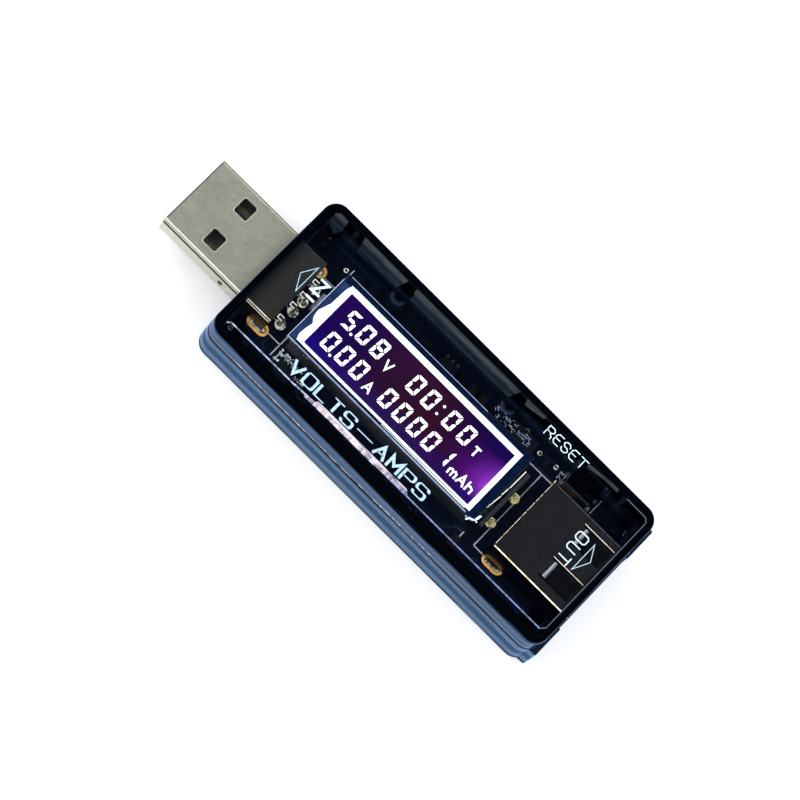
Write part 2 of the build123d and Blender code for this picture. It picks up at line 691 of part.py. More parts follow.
save("microcontroller", chip_body(-6.0, -1.0, 6.5, 4.4, 0.9, -1))
save("amplifier_chip", chip_body(-19.2, -8.5, 3.0, 3.0, 0.85, 1))
save("memory_chip", chip_body(-4.0, 8.9, 2.9, 1.6, 1.0, 1))
save("voltage_regulator", chip_body(10.0, 8.9, 4.5, 2.5, 1.4, 1))
leads = gull_leads(-6.0, -1.0, 4.4, 6.4, 0.9, 10, 0.65, -1)
leads += gull_leads(-19.2, -8.5, 3.0, 4.9, 0.85, 4, 0.65, 1)
leads += gull_leads(-4.0, 8.9, 1.6, 2.8, 1.0, 3, 0.95, 1)
leads += gull_leads(10.0, 8.9, 2.5, 3.9, 1.4, 3, 1.5, 1, sides=(-1,))
save("chip_leads", leads)
save("shunt_resistor", chip_blocks([(9.0, -4.0, False)], (6.4, 3.2, 0.6), BOARD_UNDER_Z, -1))
resistor_places = [(-20.8, 8.7, False), (-18.3, 8.7, False), (-11.8, 8.6, True), (-10.2, 8.6, True),
                   (-8.2, 9.3, False), (7.4, -8.0, False), (9.9, -8.0, False), (14.6, 9.2, True)]
save("chip_resistors", chip_blocks(resistor_places, (1.6, 0.8, 0.45), BOARD_TOP_Z, 1))
capacitor_places = [(0.6, 8.8, True), (2.6, 8.8, True), (-8.2, 7.8, False), (12.9, -8.2, True)]
save("chip_capacitors", chip_blocks(capacitor_places, (1.9, 1.2, 0.9), BOARD_TOP_Z, 1))

save("switch_body", switch_body())
save("switch_frame", switch_frame())
save("switch_dome", switch_dome())
save("switch_terminals", switch_terminals())
save("reset_button", reset_button())
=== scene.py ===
"""USB power meter: finishes, printed legends, lit display and board details around the CAD frame."""

import json
import math
import random

import bmesh
import bpy
from mathutils import Matrix, Vector


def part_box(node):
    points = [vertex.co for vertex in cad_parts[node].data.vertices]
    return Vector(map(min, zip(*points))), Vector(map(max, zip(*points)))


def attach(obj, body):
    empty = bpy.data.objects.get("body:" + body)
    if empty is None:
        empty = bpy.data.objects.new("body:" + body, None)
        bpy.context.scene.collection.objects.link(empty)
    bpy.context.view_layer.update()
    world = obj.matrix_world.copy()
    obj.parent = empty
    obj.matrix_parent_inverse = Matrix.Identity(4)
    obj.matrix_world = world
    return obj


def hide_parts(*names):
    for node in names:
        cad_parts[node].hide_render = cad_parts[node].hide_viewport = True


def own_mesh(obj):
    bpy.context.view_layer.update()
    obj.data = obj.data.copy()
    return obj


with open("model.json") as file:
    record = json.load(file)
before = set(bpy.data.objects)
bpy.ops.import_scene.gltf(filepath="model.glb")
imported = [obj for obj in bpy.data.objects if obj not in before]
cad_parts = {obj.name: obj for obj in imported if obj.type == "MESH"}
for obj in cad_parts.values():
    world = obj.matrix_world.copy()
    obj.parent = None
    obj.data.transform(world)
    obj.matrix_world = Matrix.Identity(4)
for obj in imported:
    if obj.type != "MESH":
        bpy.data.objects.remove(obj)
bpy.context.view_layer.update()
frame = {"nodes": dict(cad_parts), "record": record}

MM = 0.001
BODY = "meter"

# ---- Places in millimetres, from the frame and from the part's own dimensions ----


def span(node):
    """Lowest and highest corner of a CAD node, in millimetres."""
    low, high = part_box(node)
    return low / MM, high / MM


COVER_TOP = span("top_shell")[1].z
BOARD_TOP = span("circuit_board")[1].z
FILM_LOW, FILM_HIGH = span("front_polarizer")
CELL_LOW, CELL_HIGH = span("lcd_front_glass")
LEDGE = span("lcd_rear_glass")[1]  # far upper corner of the rear glass
PLUG_LOW, PLUG_HIGH = span("plug_shell")
PORT_BACK = span("receptacle_shell")[0].x
LAMPS_TOP = span("lamp_strip")[1].z
TAILS_TOP = span("plug_contacts")[1].z

CONTACT_YS = (-3.5, -1.0, 1.0, 3.5)
PLUG_LEG_X, PLUG_PIN_X = -26.05, -24.0
PORT_LEG_X, PORT_LEG_Y = 18.9, 6.4
LAMP_PIN_X, LAMP_PIN_Y = 14.85, 2.4
LEG_Y_IN = 0.15
LATCH_X, LATCH_Y = -38.075, 3.05
CASE_HALF_WIDTH = 12.8
PARTING_Z = 7.15
PORT_NEAR, PORT_SHEET_TOP = -6.55, 10.2

# ---- Camera, light and floor, in metres ----

CAMERA_AZIMUTH, CAMERA_ELEVATION, CAMERA_ROLL = -3.227, 71.146, 47.881
CAMERA_DISTANCE = 0.67046
CAMERA_CLIP = (0.01, 20)
FOCAL_LENGTH, SENSOR_WIDTH = 222.75, 36
CAMERA_SHIFT = (-0.0206, 0.0499)

LIGHT_DISTANCE = 0.85
# Azimuth, elevation, size, power and colour.
LIGHTS = {
    "light_near": (-10, 52, (0.9, 0.45), 5.5, (1.0, 0.97, 0.92)),
    "light_plug_end": (-85, 56, (0.8, 0.5), 6.0, (1.0, 1.0, 1.0)),
    "light_port_end": (92, 56, (0.8, 0.45), 5.5, (0.9, 0.95, 1.0)),
    "light_far": (178, 40, (0.9, 0.4), 5.5, (1.0, 0.98, 0.96)),
}
SURROUND_COLOUR, SURROUND_STRENGTH = (0.9, 0.95, 1.0, 1), 0.1
FLOOR_HALF_MM = 3000


def view_axes(azimuth, elevation):
    """Unit vectors that point right, up and back for a viewer at these angles."""
    a, e = math.radians(azimuth), math.radians(elevation)
    back = Vector((math.sin(a) * math.cos(e), -math.cos(a) * math.cos(e), math.sin(e)))
    right = Vector((math.cos(a), math.sin(a), 0))
    return right, back.cross(right), back


def place_camera():
    """Long lens at the photograph's viewing angle, turned about its own axis."""
    right, up, back = view_axes(CAMERA_AZIMUTH, CAMERA_ELEVATION)
    data = bpy.data.cameras.new("camera")
    data.lens = FOCAL_LENGTH
    data.sensor_width = SENSOR_WIDTH
    data.shift_x, data.shift_y = CAMERA_SHIFT
    data.clip_start, data.clip_end = CAMERA_CLIP
    camera = bpy.data.objects.new("camera", data)
    bpy.context.scene.collection.objects.link(camera)
    roll = Matrix.Rotation(math.radians(CAMERA_ROLL), 4, "Z")
    turned = Matrix((right, up, back)).transposed().to_4x4() @ roll
    camera.matrix_world = Matrix.Translation(back * CAMERA_DISTANCE) @ turned
    bpy.context.scene.camera = camera


def soft_light(name, azimuth, elevation, size, power, colour):
    """Broad area light that looks at the object from the given angles."""
    back = view_axes(azimuth, elevation)[2]
    data = bpy.data.lights.new(name, "AREA")
    data.shape = "RECTANGLE"
    data.size, data.size_y = size
    data.energy = power
    data.color = colour
    light = bpy.data.objects.new(name, data)
    light.location = back * LIGHT_DISTANCE
    light.rotation_euler = back.to_track_quat("Z", "Y").to_euler()
    bpy.context.scene.collection.objects.link(light)


def studio():
    """Plain pale floor, dim surround and soft lights at the sides."""
    for name, settings in LIGHTS.items():
        soft_light(name, *settings)
    world = bpy.data.worlds.new("surround")
    world.use_nodes = True
    shade = world.node_tree.nodes["Background"]
    shade.inputs["Color"].default_value = SURROUND_COLOUR
    shade.inputs["Strength"].default_value = SURROUND_STRENGTH
    bpy.context.scene.world = world
    bpy.context.scene.view_settings.view_transform = "Standard"

    bm = bmesh.new()
    bmesh.ops.create_grid(bm, x_segments=1, y_segments=1, size=FLOOR_HALF_MM)
    floor = make_object("floor", bm)
    floor.data.materials.append(Graph("floor_paper").plain({
        "Base Color": (0.5, 0.505, 0.51, 1),
        "Roughness": 0.7,
        "Emission Color": (0.95, 0.97, 1.0, 1),
        "Emission Strength": 0.35,
    }))


# ---- Mesh helpers, in millimetres ----

RING_SUNK, RING_ROUNDNESS = 0.002, 0.7
NEARLY_STRAIGHT = 0.05


def make_object(name, bm, smooth=False):
    """Object from a bmesh drawn in millimetres."""
    bmesh.ops.recalc_face_normals(bm, faces=bm.faces)
    bmesh.ops.scale(bm, vec=(MM, MM, MM), verts=bm.verts)
    mesh = bpy.data.meshes.new(name)
    bm.to_mesh(mesh)
    bm.free()
    mesh.polygons.foreach_set("use_smooth", [smooth] * len(mesh.polygons))
    piece = bpy.data.objects.new(name, mesh)
    bpy.context.scene.collection.objects.link(piece)
    return piece


def add_piece(name, bm, finish, smooth=False):
    """New visible piece that rides on the meter, with its finish."""
    piece = make_object(name, bm, smooth)
    piece.data.materials.append(FINISHES[finish])
    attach(piece, BODY)
    return piece


def join_rows(bm, rows, around):
    """Rows of points joined by faces, and the last row joined to the first if around."""
    made = [[bm.verts.new(point) for point in row] for row in rows]
    for first, second in zip(made, made[1:] + made[:1] if around else made[1:]):
        for i in range(len(first)):
            bm.faces.new((first[i - 1], first[i], second[i], second[i - 1]))
    return made


def solid(bm, rows):
    """Solid through rows of points, with a flat face at each end."""
    made = join_rows(bm, rows, False)
    bm.faces.new(made[0][::-1])
    bm.faces.new(made[-1])


def plate(bm, outline, low, high):
    """Flat prism over an outline of (x, y) points."""
    solid(bm, [[(x, y, z) for x, y in outline] for z in (low, high)])


def sliver(bm, start, end, profile):
    """Straight thin bar from start to end; profile gives (across, height) round its section."""
    a, b = Vector(start), Vector(end)
    way = (b - a).normalized()
    across = Vector((-way.y, way.x))
    solid(bm, [[(*(spot + across * d), z) for d, z in profile] for spot in (a, b)])


def tilted_sliver(bm, x, y, tilt, length, profile):
    """Sliver that leaves (x, y) at an angle to the x axis."""
    sliver(bm, (x, y), (x + length * math.cos(tilt), y + length * math.sin(tilt)), profile)


def lathe(bm, x, y, profile, steps=28):
    """Solid of revolution about an upright line: profile of (radius, height) from foot to tip."""
    solid(bm, [[(*spot, z) for spot in oval(x, y, radius, radius, steps)] for radius, z in profile])


def swept_ring(bm, path, profile):
    """Closed ring: profile points of (outward, height) carried round a path."""
    join_rows(bm, [[(*(point + out * d), z) for d, z in profile] for point, out in path], True)


def rectangle(x0, y0, x1, y1):
    """Corner points of an upright rectangle."""
    return [(x0, y0), (x1, y0), (x1, y1), (x0, y1)]


def oval(x, y, reach_x, reach_y, steps):
    """Points round an ellipse."""
    turns = [2 * math.pi * k / steps for k in range(steps)]
    return [(x + reach_x * math.cos(t), y + reach_y * math.sin(t)) for t in turns]


def stadium(centre, length, radius, steps=10):
    """Points and outward directions round a slot that is long along x."""
    result = []
    for end in (1, -1):
        middle = Vector((centre[0] + end * length / 2, centre[1]))
        for k in range(steps + 1):
            angle = math.pi * k / steps - math.pi / 2 + (0 if end > 0 else math.pi)
            out = Vector((math.cos(angle), math.sin(angle)))
            result.append((middle + radius * out, out))
    return result


def add_plates(name, outlines, low, high, finish):
    """New piece made of flat prisms between two heights."""
    bm = bmesh.new()
    for outline in outlines:
        plate(bm, outline, low, high)
    add_piece(name, bm, finish)


def board_ring(bm, x, y, length, radius, width, rise, steps=6):
    """Low ring with a rounded back, round a slot or hole in the board."""
    low, tall = BOARD_TOP - RING_SUNK, rise + RING_SUNK
    profile = [(-width / 2, low), (width / 2, low)]
    for k in range(1, steps):
        angle = math.pi * k / steps
        profile.append((width / 2 * math.cos(angle), low + tall * math.sin(angle) ** RING_ROUNDNESS))
    swept_ring(bm, stadium((x, y), length, radius), profile)


def meet(point, first, second, half_first, half_second):
    """Where two edge lines meet, each shifted sideways by its half width."""
    cross = first.x * second.y - first.y * second.x
    n1, n2 = Vector((-first.y, first.x)), Vector((-second.y, second.x))
    if abs(cross) < NEARLY_STRAIGHT:
        return point + n1 * half_first
    dx = (half_first * n2.y - half_second * n1.y) / cross
    dy = (half_second * n1.x - half_first * n2.x) / cross
    return point + Vector((dx, dy))


def stroke(bm, points, width, low, high, thin=None, closed=False, round_ends=False):
    """Pen stroke with mitred corners. Strokes that run mostly along x can be thinner."""
    thin = width if thin is None else thin
    line = [Vector(p) for p in points]
    count = len(line)
    runs = count if closed else count - 1
    ways = [(line[(i + 1) % count] - line[i]).normalized() for i in range(runs)]
    halves = [(thin if abs(way.x) > abs(way.y) else width) / 2 for way in ways]
    sides = {1: [], -1: []}
    for i, point in enumerate(line):
        before = (i - 1) % count if closed else max(i - 1, 0)
        after = i if closed else min(i, runs - 1)
        for side, corners in sides.items():
            half_before, half_after = side * halves[before], side * halves[after]
            corners.append(meet(point, ways[before], ways[after], half_before, half_after))
    if closed:
        corners = ((1, low), (1, high), (-1, high), (-1, low))
        join_rows(bm, [[(*p, z) for p in sides[side]] for side, z in corners], True)
        return
    outline = sides[1] + cap(line[-1], ways[-1], halves[-1], round_ends)
    outline += sides[-1][::-1] + cap(line[0], -ways[0], halves[0], round_ends)
    plate(bm, outline, low, high)


def cap(end, way, half, rounded):
    """Points round the end of a stroke, or none for a square end."""
    if not rounded:
        return []
    across = Vector((-way.y, way.x))
    turns = [math.pi * k / 6 for k in range(1, 6)]
    return [end + half * (math.cos(t) * across + math.sin(t) * way) for t in turns]


# ---- Nodes ----

MIRROR_POWER = 4.8


class Graph:
    """Nodes of one material. Each helper returns the output that holds its result."""

    def __init__(self, name):
        self.material = bpy.data.materials.new(name)
        self.material.use_nodes = True
        self.tree = self.material.node_tree
        self.tree.nodes.clear()
        self.out = self.tree.nodes.new("ShaderNodeOutputMaterial")

    def add(self, kind, inputs, result=0, **settings):
        """New node. An input is another node's output, or a constant for the node's own socket."""
        node = self.tree.nodes.new("ShaderNode" + kind)
        for setting, value in settings.items():
            setattr(node, setting, value)
        for key, value in inputs.items():
            if isinstance(value, bpy.types.NodeSocket):
                self.tree.links.new(value, node.inputs[key])
            else:
                node.inputs[key].default_value = value
        return node.outputs[result]

    def finish(self, surface, volume=None):
        """The material, with its surface and any volume joined."""
        self.tree.links.new(surface, self.out.inputs["Surface"])
        if volume:
            self.tree.links.new(volume, self.out.inputs["Volume"])
        return self.material

    def plain(self, inputs, kind="BsdfPrincipled"):
        """The material, with one shader as its surface."""
        return self.finish(self.add(kind, inputs))

    def coords(self, stretch=(1, 1, 1)):
        """Object coordinates in millimetres, stretched along the axes."""
        place = self.add("TexCoord", {}, "Object")
        return self.add("Mapping", {"Vector": place, "Scale": [s / MM for s in stretch]})

    def noise(self, scale, detail=3, rough=0.55, stretch=(1, 1, 1)):
        """Noise value, scale in cycles per millimetre."""
        return self.add("TexNoise", {
            "Vector": self.coords(stretch), "Scale": scale, "Detail": detail, "Roughness": rough})

    def ramp(self, value, stops):
        """Colour ramp with (place, colour) stops."""
        colour = self.add("ValToRGB", {"Fac": value}, "Color")
        elements = colour.node.color_ramp.elements
        while len(elements) < len(stops):
            elements.new(1.0)
        for element, (place, shade) in zip(elements, stops):
            element.position = place
            element.color = (*shade, 1)
        return colour

    def remap(self, value, low, high, start=0.3, end=0.7):
        """Value spread from start..end to low..high."""
        return self.add("MapRange", {
            "Value": value, "From Min": start, "From Max": end, "To Min": low, "To Max": high})

    def sums(self, operation, *values):
        """Result of a Math node."""
        return self.add("Math", dict(enumerate(values)), operation=operation)

    def axis(self, name):
        """Object coordinate along one axis, in millimetres."""
        return self.add("SeparateXYZ", {"Vector": self.coords()}, name)

    def along(self, name, start, end, low=0, high=1):
        """Value that goes from low to high between two places on an axis."""
        return self.remap(self.axis(name), low, high, start, end)

    def bump(self, value, depth):
        """Bump normal with a depth in millimetres."""
        return self.add("Bump", {"Height": value, "Strength": 1.0, "Distance": depth * MM})

    def blend(self, share, first, second, kind="MIX"):
        """Colour that goes from first to second, or to their product, as the share goes from 0 to 1."""
        inputs = {"Factor": share, "A": first, "B": second}
        return self.add("Mix", inputs, "Result", data_type="RGBA", blend_type=kind)

    def shaded(self, colour, value, low, high, ends=(0.25, 0.75)):
        """Colour times a grey that goes from low to high as the value goes between the ends."""
        grey = self.ramp(value, [(ends[0], (low,) * 3), (ends[1], (high,) * 3)])
        return self.blend(1.0, colour, grey, "MULTIPLY")

    def mirrored(self, ior, opacity, tint, milk, mirror, **normal):
        """Clear to milky body under a mirror, whose share by Schlick's rule is alike from both sides."""
        clear = self.add("BsdfTransparent", {"Color": (*tint, 1)})
        body = {"Fac": opacity, 1: clear, 2: self.add("BsdfDiffuse", {"Color": milk})}
        straight = ((ior - 1) / (ior + 1)) ** 2
        facing = self.add("LayerWeight", {"Blend": 0.5, **normal}, "Facing")
        share = self.sums("MULTIPLY_ADD", self.sums("POWER", facing, MIRROR_POWER), 1 - straight, straight)
        gloss = self.add("BsdfGlossy", {**mirror, **normal})
        return self.add("MixShader", {"Fac": share, 1: self.add("MixShader", body), 2: gloss})


# ---- Kinds of material ----


def surface(name, dark, light, grain, roughness, metallic=0.0, depth=0.0, stretch=(1, 1, 1),
            specular=0.5, glow=None, stops=(0.3, 0.7)):
    """Opaque finish: mottled colour, uneven gloss and fine bump from noise.

    glow gives the emitted colours in the dark and light mottles, and the strength.
    """
    graph = Graph(name)
    mottle = graph.noise(grain, stretch=stretch)
    fine = graph.noise(grain * 4, 2, stretch=stretch)
    inputs = {
        "Base Color": graph.ramp(mottle, list(zip(stops, (dark, light)))),
        "Roughness": graph.remap(fine, *roughness),
        "Metallic": metallic, "Specular IOR Level": specular,
    }
    if depth:
        inputs["Normal"] = graph.bump(fine, depth)
    if glow:
        inputs["Emission Color"] = graph.ramp(mottle, list(zip(stops, glow[:2])))
        inputs["Emission Strength"] = glow[2]
    return graph.plain(inputs)


# Share of the painted light and shade bands in the plastic's own colour and in the mirror's tint.
BODY_SHARE, MIRROR_SHARE = 0.28, 2.6
BAND_WAVER_MM = 0.7


def smoked_plastic(name, absorb, density, shade_bands, opacity):
    """Smoke-coloured plastic: mirror by Fresnel over a body that is as clear as opacity says.

    Its bands, from the underside up as (mm, colour), are painted light and shade: they colour the walls'
    body and tint their mirror by height.
    """
    graph = Graph(name)
    grain = graph.noise(6.0)
    streak = graph.noise(1.6, 3, 0.6, (0.05, 0.05, 1.0))
    normal = graph.bump(graph.noise(0.22, 2), 0.002)
    height = graph.sums("MULTIPLY_ADD", graph.remap(streak, -0.5, 0.5), BAND_WAVER_MM, graph.axis("Z"))
    rise = graph.remap(height, 0, 1, 0, COVER_TOP)
    shares = []
    for share in (BODY_SHARE, MIRROR_SHARE):
        stops = [(z / COVER_TOP, [share * c for c in colour]) for z, colour in shade_bands]
        shares.append(graph.shaded(graph.ramp(rise, stops), streak, 0.85, 1.15))
    mirror = {"Color": shares[1], "Roughness": graph.remap(grain, 0.03, 0.07)}
    skin = graph.mirrored(1.52, opacity(graph, grain), (0.98, 0.98, 1.0), shares[0], mirror, Normal=normal)
    return graph.finish(skin, graph.add("VolumeAbsorption", {"Color": (*absorb, 1), "Density": density}))


def hazy(graph, grain):
    """Opacity of the tray: nearly shut everywhere."""
    return graph.remap(grain, 0.85, 0.95)


def windowed(graph, grain):
    """Opacity of the cover: clear inside the window, shut in the rim and sides."""
    inside = []
    for axis, half in zip("XY", WINDOW):
        away = graph.sums("ABSOLUTE", graph.axis(axis))
        inside.append(graph.remap(away, 1, 0, half, half + WINDOW_EDGE))
    return graph.remap(graph.sums("MULTIPLY", *inside), 1, WINDOW_HAZE, 0, 1)


def clear_sheet(name, tint, roughness=0.02, haze=0.03):
    """Thin clear glass or film that doesn't bend what is behind it."""
    graph = Graph(name)
    smear = graph.noise(0.5)
    dust = graph.ramp(smear, [(0.3, (0.7, 0.8, 0.95)), (0.7, (0.9, 0.95, 1))])
    mirror = {"Roughness": graph.remap(smear, roughness, roughness * 2)}
    return graph.finish(graph.mirrored(1.5, graph.remap(smear, 0.0, haze), tint, dust, mirror))


# Light of the film from its left edge (0) to its right edge (1), along three lines.
FILM_ROWS = {
    "far": [
        (0.0, (0.018, 0.0008, 0.105)), (0.16, (0.014, 0.002, 0.07)), (0.33, (0.03, 0.0045, 0.035)),
        (0.5, (0.036, 0.005, 0.03)), (0.62, (0.034, 0.0045, 0.02)), (0.76, (0.018, 0.002, 0.04)),
        (0.92, (0.01, 0.0005, 0.075)), (1.0, (0.011, 0.0006, 0.085)),
    ],
    "middle": [
        (0.0, (0.012, 0.0004, 0.09)), (0.16, (0.0125, 0.0024, 0.065)), (0.33, (0.027, 0.004, 0.027)),
        (0.5, (0.032, 0.0055, 0.02)), (0.62, (0.033, 0.0044, 0.013)), (0.77, (0.035, 0.0035, 0.035)),
        (0.88, (0.075, 0.0035, 0.16)), (0.96, (0.22, 0.02, 0.42)), (1.0, (0.36, 0.05, 0.65)),
    ],
    "near": [
        (0.0, (0.01, 0.0015, 0.21)), (0.16, (0.017, 0.004, 0.145)), (0.33, (0.028, 0.0065, 0.095)),
        (0.62, (0.026, 0.008, 0.09)), (0.76, (0.026, 0.004, 0.09)), (0.9, (0.024, 0.003, 0.12)),
        (1.0, (0.024, 0.003, 0.155)),
    ],
}


def display_film(name):
    """Violet film lit from behind: blue at the left, maroon in the middle, magenta at the right."""
    graph = Graph(name)
    along = graph.along("X", FILM_LOW.x, FILM_HIGH.x)
    rows = {row: graph.ramp(along, stops) for row, stops in FILM_ROWS.items()}
    lower = graph.blend(graph.along("Y", -3.9, -1.4), rows["near"], rows["middle"])
    colour = graph.blend(graph.along("Y", -0.6, 3.4), lower, rows["far"])
    patches = graph.noise(0.35, 2)
    return graph.plain({
        "Base Color": (0.0015, 0.0005, 0.003, 1),
        "Specular IOR Level": 0.12,
        "Roughness": graph.remap(patches, 0.08, 0.14),
        "Emission Color": graph.shaded(colour, patches, 0.85, 1.1),
        "Emission Strength": 1.2,
    })


def wall_shade_band(name):
    """Far wall of the cover as its roof shows it, as painted light and shade: pale above, darker and
    streaked below.
    """
    graph = Graph(name)
    tone = graph.ramp(graph.along("Y", 9.3, 11.3), [
        (0.0, (0.004, 0.008, 0.016)), (0.25, (0.01, 0.015, 0.022)), (0.4, (0.004, 0.007, 0.012)),
        (0.58, (0.009, 0.013, 0.018)), (0.66, (0.028, 0.033, 0.038)), (0.92, (0.028, 0.033, 0.037)),
        (1.0, (0.014, 0.017, 0.02)),
    ])
    streak = graph.noise(3.0, 5, 0.7, (0.14, 1.5, 1.0))
    return graph.plain({"Color": graph.shaded(tone, streak, 0.1, 1.9)}, "BsdfDiffuse")


def lip_glow(name):
    """Light that leaks along the cover's inner corner: blue-white on the near side, faint elsewhere."""
    graph = Graph(name)
    colour = graph.ramp(graph.along("X", -30, 30), [
        (0.0, (0.5, 0.68, 0.95)), (0.1, (0.38, 0.52, 0.85)), (0.25, (0.62, 0.7, 0.98)),
        (0.3, (1.0, 0.82, 0.9)), (0.48, (1.0, 0.86, 0.96)), (0.55, (0.24, 0.38, 0.82)),
        (0.7, (0.12, 0.23, 0.62)), (1.0, (0.14, 0.26, 0.62)),
    ])
    near = graph.along("Y", -10.2, -9.6, 1, 0.06)
    patches = graph.remap(graph.noise(1.6, 4, 0.65, (1, 0.2, 0.2)), 0.12, 1.1, 0.4, 0.6)
    return graph.plain({
        "Base Color": (0.07, 0.08, 0.1, 1),
        "Roughness": 0.35,
        "Emission Color": graph.shaded(colour, graph.sums("MULTIPLY", near, patches), 0, 1, (0, 1)),
        "Emission Strength": 1.1,
    })


def plug_shade(graph):
    """Share of the nickel's colour on the plug, as painted shade: less on top, at the far round and in the
    case.
    """
    normal = graph.add("NewGeometry", {}, "Normal")
    up = graph.add("SeparateXYZ", {"Vector": normal}, "Z")
    far = graph.add("SeparateXYZ", {"Vector": normal}, "Y")
    top = graph.remap(up, 1, 0.6, 0.75, 0.97)
    side = graph.sums("MAXIMUM", graph.remap(far, 1, 0.35, 0.1, 0.35), graph.remap(far, 0, 1, 0.93, 0.99))
    inside = graph.along("X", -30.8, -30.4, 1, 0.2)
    return graph.sums("MULTIPLY", graph.sums("MULTIPLY", top, side), inside)


def port_shade(graph):
    """The same painted shade on the receptacle: its mouth is bright, the springs are dark."""
    sheet = graph.along("Z", 10.1, 10.18, 0.004, 0.38)
    far_round = graph.along("Y", 5.9, 6.1, 1, 0.12)
    mouth = graph.along("X", 29.6, 30.0)
    return graph.sums("MAXIMUM", graph.sums("MULTIPLY", sheet, far_round), mouth)


def brushed_nickel(name, dark, light, roughness, depth, stretch, shade):
    """Nickel plate with a fine drawn grain and a few darker patches, its colour times a painted shade."""
    graph = Graph(name)
    lines = graph.noise(5.0, 4, 0.6, stretch)
    pits = graph.noise(11.0, 2, 0.4)
    tone = graph.sums("MULTIPLY_ADD", graph.noise(0.5), 0.4, graph.remap(lines, 0.1, 0.5))
    colour = graph.shaded(graph.ramp(tone, [(0.2, dark), (0.75, light)]), pits, 0.72, 1.28)
    return graph.plain({
        "Base Color": graph.shaded(colour, shade(graph), 0, 1, (0, 1)),
        "Metallic": 1.0,
        "Roughness": graph.remap(pits, *roughness),
        "Normal": graph.bump(lines, depth),
    })


# ---- Finishes ----

# Half sizes in x and y of the cover's clear window, its soft edge, and the haze in it.
WINDOW, WINDOW_EDGE, WINDOW_HAZE = (29.6, 11.42), 0.12, 0.004

# Painted light and shade by height in mm on the tray's and the cover's walls: lighter blue-grey bands
# between darker ones at the bottom edge, the seam and the top, where the cover's near-black paints the rim's
# shade.
CASE_SHADE_BANDS = [
    (0.5, (0.02, 0.04, 0.07)), (0.9, (0.02, 0.04, 0.08)), (1.4, (0.15, 0.25, 0.41)),
    (2.7, (0.16, 0.26, 0.43)), (3.3, (0.06, 0.118, 0.22)), (4.8, (0.06, 0.118, 0.22)),
    (5.4, (0.17, 0.26, 0.43)), (6.2, (0.16, 0.245, 0.4)), (6.9, (0.02, 0.04, 0.08)),
]
COVER_SHADE_BANDS = [
    (7.2, (0.01, 0.02, 0.05)), (7.6, (0.19, 0.25, 0.36)), (8.1, (0.17, 0.21, 0.32)),
    (8.7, (0.085, 0.13, 0.22)), (9.4, (0.15, 0.22, 0.35)), (10.2, (0.1, 0.17, 0.3)),
    (10.55, (0.08, 0.14, 0.25)), (10.85, (0.006, 0.012, 0.025)), (11.1, (0.0015, 0.0025, 0.005)),
]

